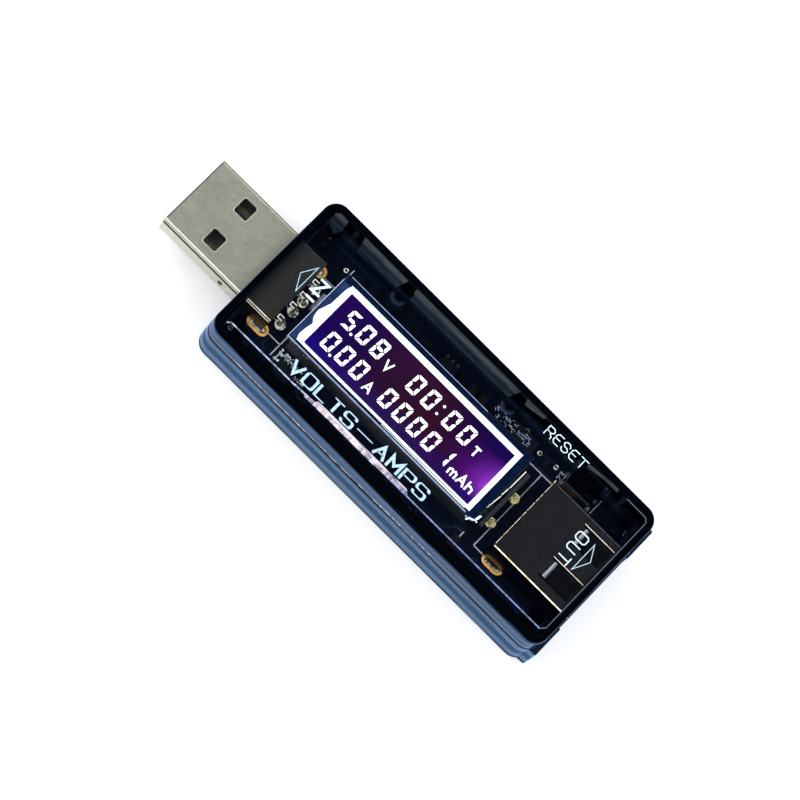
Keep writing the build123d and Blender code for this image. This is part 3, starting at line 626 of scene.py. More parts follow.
# Dark and light colour, grain per millimetre, least and most roughness, and the rest by name.
SURFACES = {
    "board": ((0.001, 0.0025, 0.008), (0.003, 0.006, 0.018), 1.5, (0.3, 0.45), {
        "depth": 0.004, "specular": 0.06}),
    # Painted shade: darker and greyer than gold, for contacts seen in shade.
    "gold_plate": ((0.12, 0.115, 0.08), (0.22, 0.21, 0.14), 3.0, (0.2, 0.35), {
        "metallic": 1.0, "depth": 0.003}),
    # The glow paints the rings' bright highlights.
    "gold_ring": ((0.75, 0.33, 0.06), (1.0, 0.62, 0.18), 1.8, (0.3, 0.45), {
        "metallic": 0.3, "depth": 0.003, "glow": ((0.45, 0.17, 0.02), (1.0, 0.58, 0.16), 0.5)}),
    "black_insulator": ((0.006, 0.006, 0.008), (0.015, 0.015, 0.017), 1.2, (0.35, 0.5), {"depth": 0.004}),
    # The glows of these three solders paint highlights: on the joints and vias, on the lamp pins' joints,
    # and pinkish-white on the tinned track.
    "solder": ((0.55, 0.53, 0.42), (0.95, 0.93, 0.8), 1.6, (0.15, 0.3), {
        "metallic": 0.8, "depth": 0.01, "glow": ((0.01, 0.01, 0.008), (0.62, 0.62, 0.5), 0.9),
        "stops": (0.45, 0.57)}),
    "warm_solder": ((0.35, 0.3, 0.08), (0.9, 0.82, 0.35), 1.8, (0.15, 0.3), {
        "metallic": 0.5, "depth": 0.01, "glow": ((0.05, 0.04, 0.0), (0.8, 0.72, 0.22), 0.6),
        "stops": (0.42, 0.58)}),
    "lit_solder": ((0.3, 0.26, 0.28), (0.95, 0.88, 0.9), 2.2, (0.2, 0.35), {
        "metallic": 0.6, "depth": 0.01, "stretch": (0.12, 1.8, 1),
        "glow": ((0.05, 0.04, 0.06), (1.0, 0.87, 0.95), 1.1), "stops": (0.4, 0.55)}),
    "tinned_wire": ((0.62, 0.62, 0.6), (0.8, 0.8, 0.78), 3.0, (0.2, 0.35), {
        "metallic": 1.0, "depth": 0.002}),
    "spring_steel": ((0.4, 0.4, 0.4), (0.6, 0.6, 0.6), 2.0, (0.2, 0.3), {"metallic": 1.0, "depth": 0.002}),
    # The glow paints the highlights on the metal shells' edges.
    "bright_edge": ((0.85, 0.66, 0.4), (1.0, 0.9, 0.72), 1.2, (0.25, 0.4), {
        "metallic": 0.2, "glow": ((0.62, 0.44, 0.24), (1.0, 0.9, 0.7), 1.3), "stops": (0.38, 0.55)}),
    # Painted shade: the white reflector, clear light guide and rear film are near black, for the shade
    # inside the display.
    "white_reflector": ((0.02, 0.024, 0.03), (0.04, 0.045, 0.055), 1.0, (0.4, 0.5), {}),
    "light_guide": ((0.02, 0.024, 0.03), (0.04, 0.045, 0.055), 1.0, (0.1, 0.2), {}),
    "rear_film": ((0.02, 0.024, 0.03), (0.03, 0.034, 0.04), 0.7, (0.2, 0.3), {}),
    "elastomer": ((0.03, 0.03, 0.035), (0.09, 0.09, 0.1), 8.0, (0.5, 0.7), {
        "depth": 0.01, "stretch": (1, 0.05, 0.05)}),
    "lamp_board": ((0.004, 0.006, 0.006), (0.012, 0.015, 0.013), 1.5, (0.35, 0.5), {"depth": 0.003}),
    "lamp": ((0.008, 0.01, 0.01), (0.025, 0.025, 0.022), 1.5, (0.2, 0.3), {}),
    "chip_epoxy": ((0.003, 0.004, 0.007), (0.008, 0.01, 0.015), 4.0, (0.45, 0.65), {
        "depth": 0.01, "specular": 0.1}),
    "resistor_black": ((0.004, 0.005, 0.009), (0.012, 0.013, 0.018), 3.0, (0.2, 0.35), {"specular": 0.15}),
    # Painted shade: near black rather than tan.
    "capacitor_tan": ((0.006, 0.006, 0.008), (0.014, 0.012, 0.012), 3.0, (0.3, 0.45), {"specular": 0.12}),
    "button_black": ((0.01, 0.01, 0.012), (0.025, 0.025, 0.028), 2.0, (0.35, 0.5), {"depth": 0.006}),
    "cover_ink": ((0.34, 0.49, 0.57), (0.58, 0.73, 0.8), 2.5, (0.45, 0.6), {"depth": 0.004}),
    "pale_ink": ((0.2, 0.34, 0.44), (0.38, 0.54, 0.64), 2.5, (0.45, 0.6), {"depth": 0.004}),
    "board_ink": ((0.5, 0.52, 0.52), (0.8, 0.82, 0.82), 2.5, (0.5, 0.65), {"depth": 0.004}),
    "display_segment": ((0.8, 0.85, 0.85), (0.9, 0.95, 0.92), 1.5, (0.2, 0.3), {
        "glow": ((0.9, 1.0, 0.96), (1.0, 1.0, 0.98), 1.5)}),
    "lit_border": ((0.8, 0.86, 0.95), (0.9, 0.95, 1.0), 1.0, (0.3, 0.4), {
        "glow": ((0.55, 0.78, 0.95), (0.95, 1.0, 1.0), 1.15), "stops": (0.38, 0.56)}),
    "glass_edge": ((0.3, 0.36, 0.45), (0.5, 0.58, 0.7), 1.0, (0.2, 0.3), {
        "glow": ((0.4, 0.55, 0.8), (0.8, 0.92, 1.0), 0.35)}),
    # Dark layer on the cell's glass and ledge; its faint blue glow is painted leaked light.
    "cell_mask_glow": ((0.0006, 0.0015, 0.007), (0.0015, 0.004, 0.018), 0.8, (0.15, 0.25), {
        "specular": 0.2, "glow": ((0.0, 0.003, 0.014), (0.0005, 0.01, 0.036), 1.0)}),
    "blue_spill": ((0.002, 0.004, 0.012), (0.004, 0.008, 0.03), 1.1, (0.15, 0.25), {
        "glow": ((0.012, 0.03, 0.12), (0.04, 0.08, 0.24), 0.8)}),
    # Its glow paints highlights on the lamp strip's top edge and on the contacts' tails.
    "painted_highlight_line": ((0.7, 0.7, 0.6), (0.9, 0.9, 0.75), 1.2, (0.3, 0.4), {
        "glow": ((0.7, 0.72, 0.6), (1.0, 1.0, 0.85), 0.75)}),
    # Flux specks whose glow paints sparkle.
    "flux_sparkle": ((0.2, 0.22, 0.22), (0.75, 0.8, 0.8), 2.5, (0.1, 0.3), {
        "glow": ((0.02, 0.025, 0.03), (0.6, 0.66, 0.68), 0.5), "stops": (0.42, 0.58)}),
    "edge_glint": ((0.06, 0.07, 0.09), (0.66, 0.58, 0.58), 1.4, (0.4, 0.6), {"stops": (0.44, 0.6)}),
    "seam_dark": ((0.004, 0.004, 0.003), (0.012, 0.011, 0.009), 3.0, (0.5, 0.7), {}),
    "track_copper": ((0.004, 0.008, 0.024), (0.008, 0.015, 0.04), 2.0, (0.2, 0.35), {
        "depth": 0.003, "specular": 0.2}),
}


# Function that makes the finish, and its settings.
OTHERS = {
    "smoked_case": (smoked_plastic, (0.35, 0.42, 0.55), 600, CASE_SHADE_BANDS, hazy),
    "smoked_cover": (smoked_plastic, (0.33, 0.38, 0.46), 260, COVER_SHADE_BANDS, windowed),
    "nickel_plate": (brushed_nickel, (0.43, 0.44, 0.37), (0.62, 0.63, 0.53), (0.3, 0.4), 0.0012,
                     (0.25, 1, 1), plug_shade),
    "bright_nickel": (brushed_nickel, (0.5, 0.5, 0.47), (0.66, 0.66, 0.62), (0.1, 0.2), 0.0008,
                      (0.3, 1, 1), port_shade),
    "cell_glass": (clear_sheet, (0.96, 0.98, 1.0)),
    "clear_resin": (clear_sheet, (0.9, 0.95, 1.0), 0.1, 0.3),
    "display_film": (display_film,),
    "wall_shade_band": (wall_shade_band,),
    "lip_glow": (lip_glow,),
}


def make_finishes():
    """All finishes, by the record's slot name where a slot has one."""
    made = {name: kind(name, *settings) for name, (kind, *settings) in OTHERS.items()}
    for name, (dark, light, grain, roughness, rest) in SURFACES.items():
        made[name] = surface(name, dark, light, grain, roughness, **rest)
    return made


FINISHES = make_finishes()
NODE_FINISHES = {"tinned_track": "lit_solder"}


def finish_cad_nodes():
    """Give each CAD node the finish of its slot in the record, or its own."""
    for part in frame["record"]["subparts"]:
        node = frame["nodes"][part["node"]]
        node.data.materials.clear()
        node.data.materials.append(FINISHES[NODE_FINISHES.get(part["node"], part["material_slot"])])


# ---- Letters: outlines on a cell one unit high, w wide, with corners cut by c ----


def glyph(letter, w, c):
    """Strokes of a letter, as lists of points, and whether each is closed."""
    m = w / 2
    bowl = [(0, 0), (0, 1), (w - c, 1), (w, 1 - c), (w, 0.5 + c * 0.6), (w - c, 0.5), (0, 0.5)]
    shapes = {
        "I": [[(0, 0), (0, 1)]],
        "N": [[(0, 0), (0, 1), (w, 0), (w, 1)]],
        "U": [[(0, 1), (0, c), (c, 0), (w - c, 0), (w, c), (w, 1)]],
        "T": [[(0, 1), (w, 1)], [(m, 1), (m, 0)]],
        "R": [bowl, [(w * 0.45, 0.5), (w, 0.22), (w, 0)]],
        "P": [bowl],
        "E": [[(w, 1), (c, 1), (0, 1 - c), (0, c), (c, 0), (w, 0)], [(0, 0.52), (w * 0.8, 0.52)]],
        "S": [[(w, 1 - c - 0.1), (w, 1 - c), (w - c, 1), (c, 1), (0, 1 - c), (0, 0.5 + c), (c, 0.5),
               (w - c, 0.5), (w, 0.5 - c), (w, c), (w - c, 0), (c, 0), (0, c), (0, c + 0.1)]],
        "V": [[(0, 1), (m, 0), (w, 1)]],
        "L": [[(0, 1), (0, 0), (w, 0)]],
        "A": [[(0, 0), (m, 1), (w, 0)], [(w * 0.2, 0.36), (w * 0.8, 0.36)]],
        "M": [[(0, 0), (0, 1), (m, 0.4), (w, 1), (w, 0)]],
        "O": [[(c, 0), (0, c), (0, 1 - c), (c, 1), (w - c, 1), (w, 1 - c), (w, c), (w - c, 0)]],
        "m": [[(0, 0), (0, 0.62)], [(0, 0.5), (w * 0.25, 0.64), (m, 0.5), (m, 0)],
              [(m, 0.5), (w * 0.75, 0.64), (w, 0.5), (w, 0)]],
        "h": [[(0, 0), (0, 1)], [(0, 0.5), (w * 0.5, 0.64), (w, 0.5), (w, 0)]],
        "1": [[(0, 0.8), (m, 1), (m, 0)]],
        "2": [[(0, 0.85), (c, 1), (w - c, 1), (w, 0.8), (0, 0), (w, 0)]],
        "3": [[(0, 1), (w, 1), (m, 0.58), (w, 0.4), (w, c), (w - c, 0), (0, 0)]],
        "4": [[(w * 0.75, 0), (w * 0.75, 1), (0, 0.3), (w, 0.3)]],
    }
    return shapes[letter], letter == "O"


def write(bm, text, start, reading, height, width, gap, pen, level, thin=None, cut=0.18,
          widths=None, round_ends=False):
    """Letters from a start point on the baseline, along the reading direction. Returns their end."""
    along = Vector(reading).normalized()
    turn = math.atan2(along.y, along.x)
    x = 0.0
    for letter in text:
        cell = (widths or {}).get(letter, width)
        strokes, closed = glyph(letter, cell / height, cut)
        drawn = len(bm.verts)
        for points in strokes:
            flat = [(px * height, py * height) for px, py in points]
            stroke(bm, flat, pen, *level, thin, closed, round_ends)
        base = Vector(start) + along * x
        spot = Matrix.Translation((base.x, base.y, 0)) @ Matrix.Rotation(turn, 4, "Z")
        bmesh.ops.transform(bm, matrix=spot, verts=list(bm.verts)[drawn:])
        x += cell + gap
    return Vector(start) + along * (x - gap)


# ---- Printing on the cover ----

INK_LEVEL = (COVER_TOP - 0.004, COVER_TOP + 0.022)
WORD_LINE, WORD_HEIGHT = -9.55, 1.8
WORDS = {"reading": (1, 0), "height": WORD_HEIGHT, "gap": 0.65, "pen": 0.4, "level": INK_LEVEL,
         "thin": 0.17, "cut": 0.12}
ARROW_PEN = 0.1


def cover_legends():
    """IN, OUT, RESET, the two arrowheads and the generic words along the near side."""
    bm = bmesh.new()
    write(bm, "IN", (-22.83, -0.4), (0, 1), 1.46, 2.0, 1.06, 0.35, INK_LEVEL, widths={"I": 0.0})
    write(bm, "OUT", (23.86, 3.3), (0, -1), 1.77, 1.25, 0.72, 0.17, INK_LEVEL,
          widths={"U": 1.05, "T": 1.4}, cut=0.15)
    write(bm, "RESET", (11.27, 9.43), (1, 0), 1.48, 1.05, 0.42, 0.14, INK_LEVEL,
          widths={"R": 1.1, "T": 1.25}, cut=0.2, round_ends=True)
    add_piece("cover_legends", bm, "cover_ink")
    bm = bmesh.new()
    end = write(bm, "VOLTS", (-19.0, WORD_LINE), width=1.75, **WORDS)
    dash_y = WORD_LINE + WORD_HEIGHT / 2
    stroke(bm, [(end.x + 0.75, dash_y), (end.x + 3.6, dash_y)], 0.14, *INK_LEVEL)
    write(bm, "AMPS", (end.x + 4.35, WORD_LINE), width=1.8, **WORDS)
    for corners in ([(-25.6, -1.05), (-25.6, 3.5), (-26.85, 1.25)],
                    [(26.6, 3.25), (26.6, -1.45), (27.8, 1.05)]):
        stroke(bm, corners, ARROW_PEN, *INK_LEVEL, closed=True)
    add_piece("cover_words", bm, "pale_ink")


# ---- Display ----

DIGIT_WIDTH, DIGIT_HEIGHT = 1.9, 3.02
SEGMENT_THICK, SEGMENT_GAP, DIGIT_CHAMFER = 0.6, 0.16, 0.26
DIGIT_SLANT = 0.08
SEGMENTS = {"0": "abcdef", "1": "bc", "5": "acdfg", "8": "abcdefg"}
UPPER_LINE, LOWER_LINE = 0.61, -3.56
# Digits, place of the first one's lower left corner, and pitch.
READINGS = [
    ("508", -18.57, UPPER_LINE, 2.67),
    ("000", -18.57, LOWER_LINE, 2.67),
    ("00", -6.41, UPPER_LINE, 2.79),
    ("00", 0.34, UPPER_LINE, 2.79),
    ("00001", -7.85, LOWER_LINE, 2.71),
]
DOTS, DOT_RADIUS = ((-16.33, 0.68), (-16.35, -3.5), (-0.62, 2.78), (-0.74, 1.3)), 0.2
# Letters, start, height, width and pen.
UNITS = [
    ("V", (-10.35, UPPER_LINE - 0.1), 1.45, 1.1, 0.24),
    ("A", (-10.3, LOWER_LINE - 0.1), 1.5, 1.15, 0.23),
    ("T", (6.08, UPPER_LINE), 1.36, 1.0, 0.27),
    ("mAh", (5.68, LOWER_LINE - 0.05), 1.5, 1.2, 0.26),
]


def segment_outlines():
    """Outlines of the seven segments of one upright digit."""
    w, h, t, c = DIGIT_WIDTH, DIGIT_HEIGHT, SEGMENT_THICK, DIGIT_CHAMFER
    upper_left = [(c / 2, h - c / 2), (0, h - c), (0, h / 2), (t / 2, h / 2), (t, h / 2 + t / 2), (t, h - t)]
    top = [(c / 2, h - c / 2), (t, h - t), (w - t, h - t), (w - c / 2, h - c / 2), (w - c, h), (c, h)]
    middle = [(t / 2, h / 2), (t, h / 2 - t / 2), (w - t, h / 2 - t / 2), (w - t / 2, h / 2),
              (w - t, h / 2 + t / 2), (t, h / 2 + t / 2)]

    def flip_x(points):
        return [(w - x, y) for x, y in points][::-1]

    def flip_y(points):
        return [(x, h - y) for x, y in points][::-1]

    return {
        "a": top,
        "b": flip_x(upper_left),
        "c": flip_y(flip_x(upper_left)),
        "d": flip_y(top),
        "e": flip_y(upper_left),
        "f": upper_left,
        "g": middle,
    }


def inset(points, amount):
    """Outline moved inwards by an amount. Points run anticlockwise."""
    line = [Vector(p) for p in points]
    count = len(line)
    ways = [(line[(i + 1) % count] - line[i]).normalized() for i in range(count)]
    return [meet(line[i], ways[i - 1], ways[i], amount, amount) for i in range(count)]


def draw_digit(bm, digit, x, y, level):
    """One slanted digit with its lower left corner at (x, y)."""
    outlines = segment_outlines()
    for name in SEGMENTS[digit]:
        points = inset(outlines[name], SEGMENT_GAP / 2)
        slanted = [(x + p.x + DIGIT_SLANT * p.y, y + p.y) for p in points]
        plate(bm, slanted, *level)


def display_text():
    """Readings of both lines with their units."""
    level = (FILM_HIGH.z, FILM_HIGH.z + 0.02)
    bm = bmesh.new()
    for digits, x, y, pitch in READINGS:
        for k, digit in enumerate(digits):
            draw_digit(bm, digit, x + k * pitch, y, level)
    for x, y in DOTS:
        plate(bm, oval(x, y, DOT_RADIUS, DOT_RADIUS, 16), *level)
    for text, start, height, width, pen in UNITS:
        write(bm, text, start, (1, 0), height, width, 0.42, pen, level, widths={"h": 0.85})
    add_piece("display_readings", bm, "display_segment")


BORDER_LEFT = [(-20.7, 5.8), (-20.98, 4.8), (-21.08, 2.0), (-21.4, 0.9), (-21.7, 0.0), (-21.62, -0.7),
               (-21.45, -1.3), (-20.95, -1.95), (-21.05, -2.3), (-21.2, -3.2), (-21.26, -4.3), (-21.0, -5.1)]
BORDER_NEAR, BORDER_FAR, BORDER_RIGHT = -5.05, 5.82, 11.47
# Thickness of a layer on the glass, and how far it sinks in.
LAYER, LAYER_SUNK = 0.004, 0.002


def lit_border():
    """White frame of leaked light round the film, with a wavy left edge, and the dark mask outside it, whose
    faint glow is painted leaked light.
    """
    glass = CELL_HIGH.z
    left, right = FILM_LOW.x + 0.05, FILM_HIGH.x - 0.05
    near, far = FILM_LOW.y + 0.05, FILM_HIGH.y - 0.05
    border = [
        [(left, -5.1), (left, 5.8)] + BORDER_LEFT,
        rectangle(left, far, right, BORDER_FAR),
        rectangle(right, BORDER_NEAR - 0.1, BORDER_RIGHT, BORDER_FAR),
        [(left, -5.12), (-4.0, BORDER_NEAR), (right, -4.96), (right, near), (left, near)],
        [(-5.0, -5.24), (right, -5.3), (right, -5.08), (-5.0, -5.2)],
    ]
    add_plates("lit_border", border, glass, glass + 0.02, "lit_border")

    bm = bmesh.new()
    start, end = CELL_LOW.x + 0.1, CELL_HIGH.x - 0.1
    for z, near_edge, far_edge in (
        (glass, CELL_LOW.y + 0.1, CELL_HIGH.y - 0.05),
        (LEDGE.z, CELL_HIGH.y + 0.02, LEDGE.y - 0.1),
    ):
        plate(bm, rectangle(start, near_edge, end, far_edge), z - LAYER_SUNK, z + LAYER)
    add_piece("cell_mask_glow", bm, "cell_mask_glow")

    spill = [
        rectangle(CELL_LOW.x + 0.25, -5.3, -20.9, 5.5),
        rectangle(-20.9, BORDER_FAR - 0.1, 11.6, BORDER_FAR + 0.12),
    ]
    add_plates("light_spill", spill, glass + LAYER, glass + LAYER * 2, "blue_spill")


def glass_edges():
    """Ground edges of the cell, where its light shows as thin lines, and scratches on its ledge whose glow
    paints glints.
    """
    bm = bmesh.new()
    low, high = CELL_HIGH.z - 0.5, CELL_HIGH.z + 0.012
    near, left = CELL_LOW.y, CELL_LOW.x
    sliver(bm, (left + 0.1, near + 0.12), (11.2, near + 0.12), rectangle(-0.04, low, 0.04, high))
    sliver(bm, (left, near), (left, CELL_HIGH.y), rectangle(-0.09, low, 0.03, high))
    add_piece("glass_edges", bm, "glass_edge")

    bm = bmesh.new()
    y, high = LEDGE.y - 0.08, LEDGE.z + 0.03
    sliver(bm, (-21.6, y), (4.0, y), rectangle(-0.04, high - 0.1, 0.04, high))
    scratch_glints = random.Random(5)
    for _ in range(70):
        x = 10.8 - 6.5 * scratch_glints.random() ** 1.6
        y = 7.35 + 1.3 * scratch_glints.random()
        tilt = scratch_glints.uniform(-0.9, 0.5)
        length = scratch_glints.uniform(0.1, 0.55)
        z = LEDGE.z - 0.3 + 0.3 * scratch_glints.random()
        tilted_sliver(bm, x, y, tilt, length, [(-0.025, z), (0.025, z), (0.0, z + 0.03)])
    add_piece("ledge_glints", bm, "glass_edge")


WALL_OUTLINES = [
    [(-23.5, 8.9), (-21.5, 9.1), (-16.4, 9.3), (-16.2, 10.2), (-16.0, 10.75), (-15.9, 11.3), (-24.1, 11.36)],
    [(-14.1, 9.45), (4.6, 9.5), (4.75, 10.3), (5.1, 10.9), (5.2, 11.42), (-14.2, 11.34), (-14.3, 10.8),
     (-14.0, 10.2)],
    [(6.9, 10.3), (10.0, 10.9), (10.2, 11.4), (6.5, 11.4), (6.7, 10.8)],
    [(18.6, 10.25), (21.3, 10.8), (23.9, 10.8), (23.8, 11.4), (18.5, 10.95)],
    [(-29.0, 9.2), (-27.4, 8.4), (-26.9, 9.6), (-27.2, 11.2), (-28.6, 11.3), (-29.2, 10.8)],
]


def wall_shade_bands():
    """Sheets under the roof that paint the light and shade of the cover's far wall between its pegs, seen
    through the roof.
    """
    add_plates("wall_shade_bands", WALL_OUTLINES, COVER_TOP - 0.12, COVER_TOP - 0.1, "wall_shade_band")


# ---- Bright metal edges under the cover ----


def bevel_profile(foot, crest, low, high):
    """Section with one long slope from foot up to crest, and a short back."""
    return [(foot, low), (crest, high), (crest + 0.06, high - 0.04), (crest + 0.06, low)]


def bright_edges():
    """Folded and cut edges of the two metal shells, which catch the light, drawn as glowing painted
    highlights.
    """
    bm = bmesh.new()
    top = PORT_SHEET_TOP
    sliver(bm, (17.1, PORT_NEAR), (29.6, PORT_NEAR), bevel_profile(0.24, 0.34, top - 0.12, top + 0.04))
    for y in (-1.55, 4.85):
        sliver(bm, (23.8, y), (29.3, y), bevel_profile(0.0, 0.07, top - 0.06, top + 0.04))
    dashes = random.Random(11)
    y = PORT_NEAR + 0.7
    while y < -PORT_NEAR - 0.6:
        length = min(dashes.uniform(0.5, 2.2), -PORT_NEAR - 0.2 - y)
        sliver(bm, (PORT_BACK, y + length), (PORT_BACK, y), bevel_profile(0.0, 0.06, top - 0.1, top + 0.03))
        y += length + dashes.uniform(0.08, 0.3)
    top = PLUG_HIGH.z
    side = PLUG_LOW.y
    sliver(bm, (-29.4, side), (PLUG_HIGH.x, side), bevel_profile(0.08, 0.4, top - 0.2, top + 0.01))
    add_piece("bright_edges", bm, "bright_edge")


def plug_trim():
    """Dark seam and lip of the plug's shell, a dark disc that paints the shade inside its hole, and the
    pressed rims of its latch windows.
    """
    bm = bmesh.new()
    side, top, tip = PLUG_LOW.y, PLUG_HIGH.z, PLUG_LOW.x
    sliver(bm, (tip + 0.1, side), (-30.9, side), rectangle(-0.012, top - 1.25, 0.05, top - 0.49))
    sliver(bm, (tip + 0.14, 5.5), (tip + 0.14, -5.5), rectangle(-0.08, top - 0.02, 0.07, top + 0.004))
    sliver(bm, (-33.6, side + 0.05), (-33.6, side - 0.015), oval(0, 6.3, 0.42, 0.6, 18))
    add_piece("plug_seam_and_hole_shade", bm, "seam_dark")

    bm = bmesh.new()
    profile = [(0.17, top - 0.05), (0.13, top + 0.012), (-0.02, top - 0.03), (-0.04, top - 0.3),
               (0.17, top - 0.3)]
    for latch_y in (-LATCH_Y, LATCH_Y):
        path = []
        for sx, sy in ((1, 1), (-1, 1), (-1, -1), (1, -1)):
            corner = Vector((LATCH_X + sx * 0.83, latch_y + sy * 0.95))
            for step in range(5):
                angle = math.atan2(sy, sx) + math.radians(22.5 * (step - 2))
                out = Vector((math.cos(angle), math.sin(angle)))
                path.append((corner + 0.3 * out, out))
        swept_ring(bm, path, profile)
    add_piece("window_rims", bm, "nickel_plate", smooth=True)


# Width and points of each stretch of light along the cover's corner.
LIP_STROKES = [
    (0.2, [(-29.1, -10.95), (-28.6, -10.5), (-16.8, -10.46)]),
    (0.24, [(-16.9, -10.42), (-12.0, -10.24), (-1.0, -10.2), (4.0, -10.3)]),
    (0.2, [(-14.9, -10.58), (-10.0, -10.54), (-2.0, -10.56)]),
    (0.19, [(-1.0, -10.46), (29.0, -10.48)]),
    (0.13, [(29.1, -10.3), (29.55, -9.8), (29.55, 10.6), (29.0, 11.15), (25.5, 11.2)]),
]


def lip_line():
    """Light along the cover's inner corner: bright on the near side, faint round the port end."""
    bm = bmesh.new()
    for width, points in LIP_STROKES:
        stroke(bm, points, width, COVER_TOP - 0.16, COVER_TOP - 0.12)
    add_piece("lip_line", bm, "lip_glow")


LAMP_LINES = [
    ((13.35, 5.0), (13.3, 1.7)), ((13.25, 1.5), (13.15, 0.2)), ((13.2, 0.0), (12.9, -2.3)),
    ((12.9, -2.3), (12.3, -3.6)), ((12.3, -3.6), (12.1, -4.9)),
]


def lamp_strip_edge():
    """Top edge of the lamp strip, a thin, broken, pale line that is a painted highlight, and the painted
    sparkle at its near end.
    """
    bm = bmesh.new()
    z = LAMPS_TOP
    for start, end in LAMP_LINES:
        sliver(bm, start, end, rectangle(-0.08, z - 0.02, 0.08, z + 0.06))
    add_piece("lamp_strip_edge", bm, "painted_highlight_line")

    bm = bmesh.new()
    sparks = random.Random(17)
    for _ in range(26):
        along = sparks.random()
        x = 11.7 + 1.5 * along + sparks.uniform(-0.3, 0.3)
        y = -5.7 + 1.2 * along + sparks.uniform(-0.35, 0.35)
        tilt = sparks.uniform(0.2, 1.2)
        length = sparks.uniform(0.15, 0.7)
        half = sparks.uniform(0.05, 0.13)
        tilted_sliver(bm, x, y, tilt, length, rectangle(-half, z, half, z + 0.03))
    add_piece("lamp_glints", bm, "lit_border")


def seam_glints():
    """Short pale dashes along the near seam that paint the highlights where the cover's edge catches the
    light.
    """
    bm = bmesh.new()
    scuff_glints = random.Random(23)
    x, y = -25.0, -CASE_HALF_WIDTH
    while x < 12:
        length = scuff_glints.uniform(0.4, 2.6)
        z = PARTING_Z + scuff_glints.uniform(0.22, 0.5)
        tall = scuff_glints.uniform(0.12, 0.34)
        sliver(bm, (x, y), (x + length, y), rectangle(-0.01, z, 0.03, z + tall))
        x += length + scuff_glints.uniform(0.1, 0.9)
    add_piece("seam_glints", bm, "edge_glint")


def flux_sparkle_marks():
    """Specks of flux on the board beside the first letters of the cover's words, whose glow is painted
    sparkle.
    """
    drops = random.Random(31)
    specks = []
    for k in range(90):
        x = -21.5 + 5.5 * drops.random()
        y = -7.45 + drops.uniform(-0.28, 0.28)
        if k % 3 == 0:
            x = -21.4 + 2.8 * drops.random()
            y = -6.2 + drops.uniform(-0.45, 0.45)
        radius = drops.uniform(0.05, 0.2)
        corners = []
        for angle in (0.2, 1.3, 2.4, 3.6, 4.9):
            reach_x, reach_y = (radius * drops.uniform(0.6, 1.5) for _ in range(2))
            corners.append((x + reach_x * math.cos(angle), y + reach_y * math.sin(angle)))
        specks.append(corners)
    add_plates("flux_sparkle_marks", specks, BOARD_TOP + 0.03, BOARD_TOP + 0.05, "flux_sparkle")


# ---- Reset switch ----

DOME_SHEET = 0.08
DOME_STEPS = 10


def snap_dome():
    """Dome of the reset switch: a thin spherical shell drawn in place of the CAD dome."""
    low, high = span("switch_dome")
    middle = (low + high) / 2
    reach, rise = (high.x - low.x) / 2, high.y - low.y
    ball = (reach ** 2 + rise ** 2) / (2 * rise)
    sunk = ball - rise
    shares = [max(k / DOME_STEPS, 0.03) for k in range(DOME_STEPS + 1)]
    profile = []
    for radius, ways in ((ball - DOME_SHEET, shares), (ball, shares[::-1])):
        rim = math.acos(sunk / radius)
        for share in ways:
            profile.append((radius * math.sin(rim * share), radius * math.cos(rim * share) - sunk))
    bm = bmesh.new()
    lathe(bm, 0, 0, profile)
    bm.transform(Matrix.Translation((middle.x, low.y, middle.z)) @ Matrix.Rotation(-math.pi / 2, 4, "X"))
    dome = add_piece("snap_dome", bm, "spring_steel", smooth=True)
    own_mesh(dome)
    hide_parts("switch_dome")


# ---- Circuit board ----

PRINT_LEVEL = (BOARD_TOP, BOARD_TOP + 0.025)
PRINT_PEN = 0.18
SMALL_PRINT = {"height": 0.85, "width": 0.5, "gap": 0.2, "pen": 0.13, "level": PRINT_LEVEL}
PRINT_LINES = [
    [(-22.1, -7.6), (-22.1, 9.4)], [(-22.1, -5.6), (-24.45, -5.6)], [(-22.1, 5.6), (-24.45, 5.6)],
    [(15.3, -6.4), (15.3, 7.6)], [(17.3, -6.4), (15.3, -6.4)], [(12.95, 7.6), (17.3, 7.6)],
    [(13.1, -7.9), (13.1, -6.0)], [(-17.2, -6.3), (-21.3, -6.3), (-21.3, -7.7)],
    [(-5.8, 7.7), (-2.2, 7.7)], [(23.6, 8.0), (23.6, 11.0)], [(17.3, -6.4), (17.3, 7.6)],
]


def board_print():
    """White lines and numbers printed on the board."""
    bm = bmesh.new()
    for points in PRINT_LINES:
        stroke(bm, points, PRINT_PEN, *PRINT_LEVEL)
    numbers = [(number, (-24.75, y - 0.25), (0, 1)) for number, y in zip("1234", CONTACT_YS)]
    numbers += [("23", (17.8, 8.7), (0, 1)), ("1", (28.6, 9.6), (1, 0)), ("4", (7.0, -10.3), (1, 0))]
    for number, start, reading in numbers:
        write(bm, number, start, reading, **SMALL_PRINT)
    add_piece("board_print", bm, "board_ink")


def leg_rings():
    """Gold rings round the slots that hold the connectors' legs."""
    bm = bmesh.new()
    for x, y in ((PLUG_LEG_X, PLUG_HIGH.y - LEG_Y_IN), (PORT_LEG_X, PORT_LEG_Y)):
        for side in (-1, 1):
            board_ring(bm, x, side * y, 1.7, 0.72, 0.42, 0.09)
    add_piece("leg_rings", bm, "gold_ring", smooth=True)


# Finish, places, ring radius, and foot radius and height of the solder.
PIN_JOINTS = {
    "plug": ("solder", [(PLUG_PIN_X, y) for y in CONTACT_YS], 0.72, 0.68, 1.1),
    "lamp": ("warm_solder", [(LAMP_PIN_X, y) for y in (-LAMP_PIN_Y, LAMP_PIN_Y)], 0.7, 0.6, 0.8),
}
CONE_STEPS = 8
CONE_NECK, CONE_TIP = 0.2, 0.12


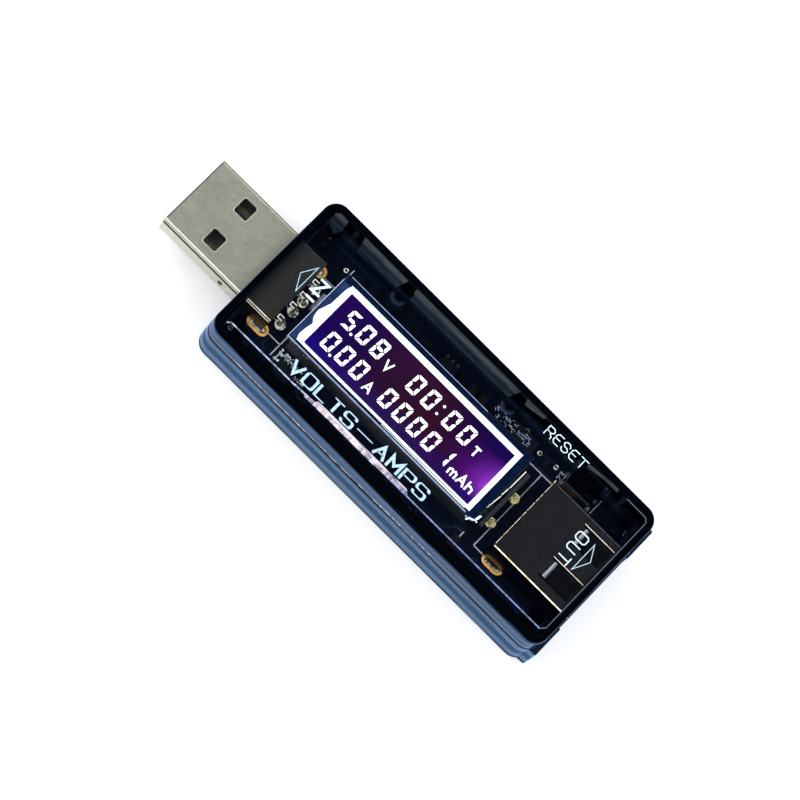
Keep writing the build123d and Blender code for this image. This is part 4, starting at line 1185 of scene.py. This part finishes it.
def pin_joints():
    """Rings round the soldered pins, and the solder drawn up each pin in a hollow curve."""
    for name, (finish, spots, radius, foot, rise) in PIN_JOINTS.items():
        profile = []
        for k in range(CONE_STEPS + 1):
            t = k / CONE_STEPS
            profile.append((CONE_NECK + (foot - CONE_NECK) * (1 - t) ** 1.9, BOARD_TOP + 0.01 + rise * t))
        profile.append((CONE_TIP, BOARD_TOP + rise + 0.07))
        rings, cones = bmesh.new(), bmesh.new()
        for x, y in spots:
            board_ring(rings, x, y, 0.0, radius, 0.16, 0.06)
            lathe(cones, x, y, profile)
        add_piece(name + "_pin_rings", rings, finish, smooth=True)
        add_piece(name + "_pin_solder", cones, finish, smooth=True)


def tail_glints():
    """Bright edges of the contacts' tails, where they bend down into the board, drawn as painted highlights.
    """
    bm = bmesh.new()
    for y in CONTACT_YS:
        points = [(-24.15, y - 0.28), (-24.95, y - 0.28), (-24.95, y + 0.28), (-24.15, y + 0.28)]
        stroke(bm, points, 0.13, TAILS_TOP - 0.01, TAILS_TOP + 0.02)
    add_piece("tail_glints", bm, "painted_highlight_line")


TRACK_WIDTH, TRACK_RISE = 0.32, 0.018
TRACKS = [
    [(-24.0, -4.6), (-24.0, -7.0), (-22.8, -8.2), (-13.4, -8.2)],
    [(-28.4, -9.8), (-21.9, -9.8)], [(-16.4, -9.2), (-14.4, -10.2), (9.0, -10.2)],
    [(-16.4, -8.6), (-14.0, -9.5), (6.0, -9.5)],
    [(4.0, -7.9), (10.2, -7.9), (12.0, -6.2), (12.9, -6.2)],
    [(-28.2, 2.2), (-28.2, 8.8), (-26.8, 10.3), (-18.0, 10.3)],
    [(-22.9, 7.6), (-7.2, 7.6)], [(-12.6, 9.0), (-6.2, 9.0)], [(-1.8, 8.5), (6.8, 8.5)],
    [(13.6, 9.9), (17.4, 9.9)],
    [(12.9, 4.0), (12.9, 6.4), (14.4, 8.0), (17.8, 8.0)],
    [(12.6, -8.6), (14.4, -8.6), (16.4, -7.8), (26.4, -7.8)],
    [(12.6, -9.6), (27.0, -9.6)], [(21.0, -8.7), (27.0, -8.7)],
]
VIAS = [(11.8, 8.5), (13.1, 9.6), (16.0, 9.8), (9.8, 10.6), (-22.9, 8.6), (-28.4, -8.8),
        (-21.4, 7.7), (-27.6, 4.8)]


def board_tracks():
    """Copper tracks under the solder mask, and plated holes beside them."""
    bm = bmesh.new()
    for points in TRACKS:
        stroke(bm, points, TRACK_WIDTH, BOARD_TOP - 0.002, BOARD_TOP + TRACK_RISE, round_ends=True)
    add_piece("board_tracks", bm, "track_copper")

    bm = bmesh.new()
    for x, y in VIAS:
        board_ring(bm, x, y, 0.0, 0.28, 0.2, 0.05, 5)
    add_piece("board_vias", bm, "solder", smooth=True)


# ---- Build ----

place_camera()
studio()
finish_cad_nodes()
for build in (
    cover_legends, display_text, lit_border, glass_edges, wall_shade_bands, bright_edges, plug_trim, lip_line,
    lamp_strip_edge, seam_glints, flux_sparkle_marks, snap_dome, board_print, leg_rings, pin_joints, tail_glints,
    board_tracks,
):
    build()
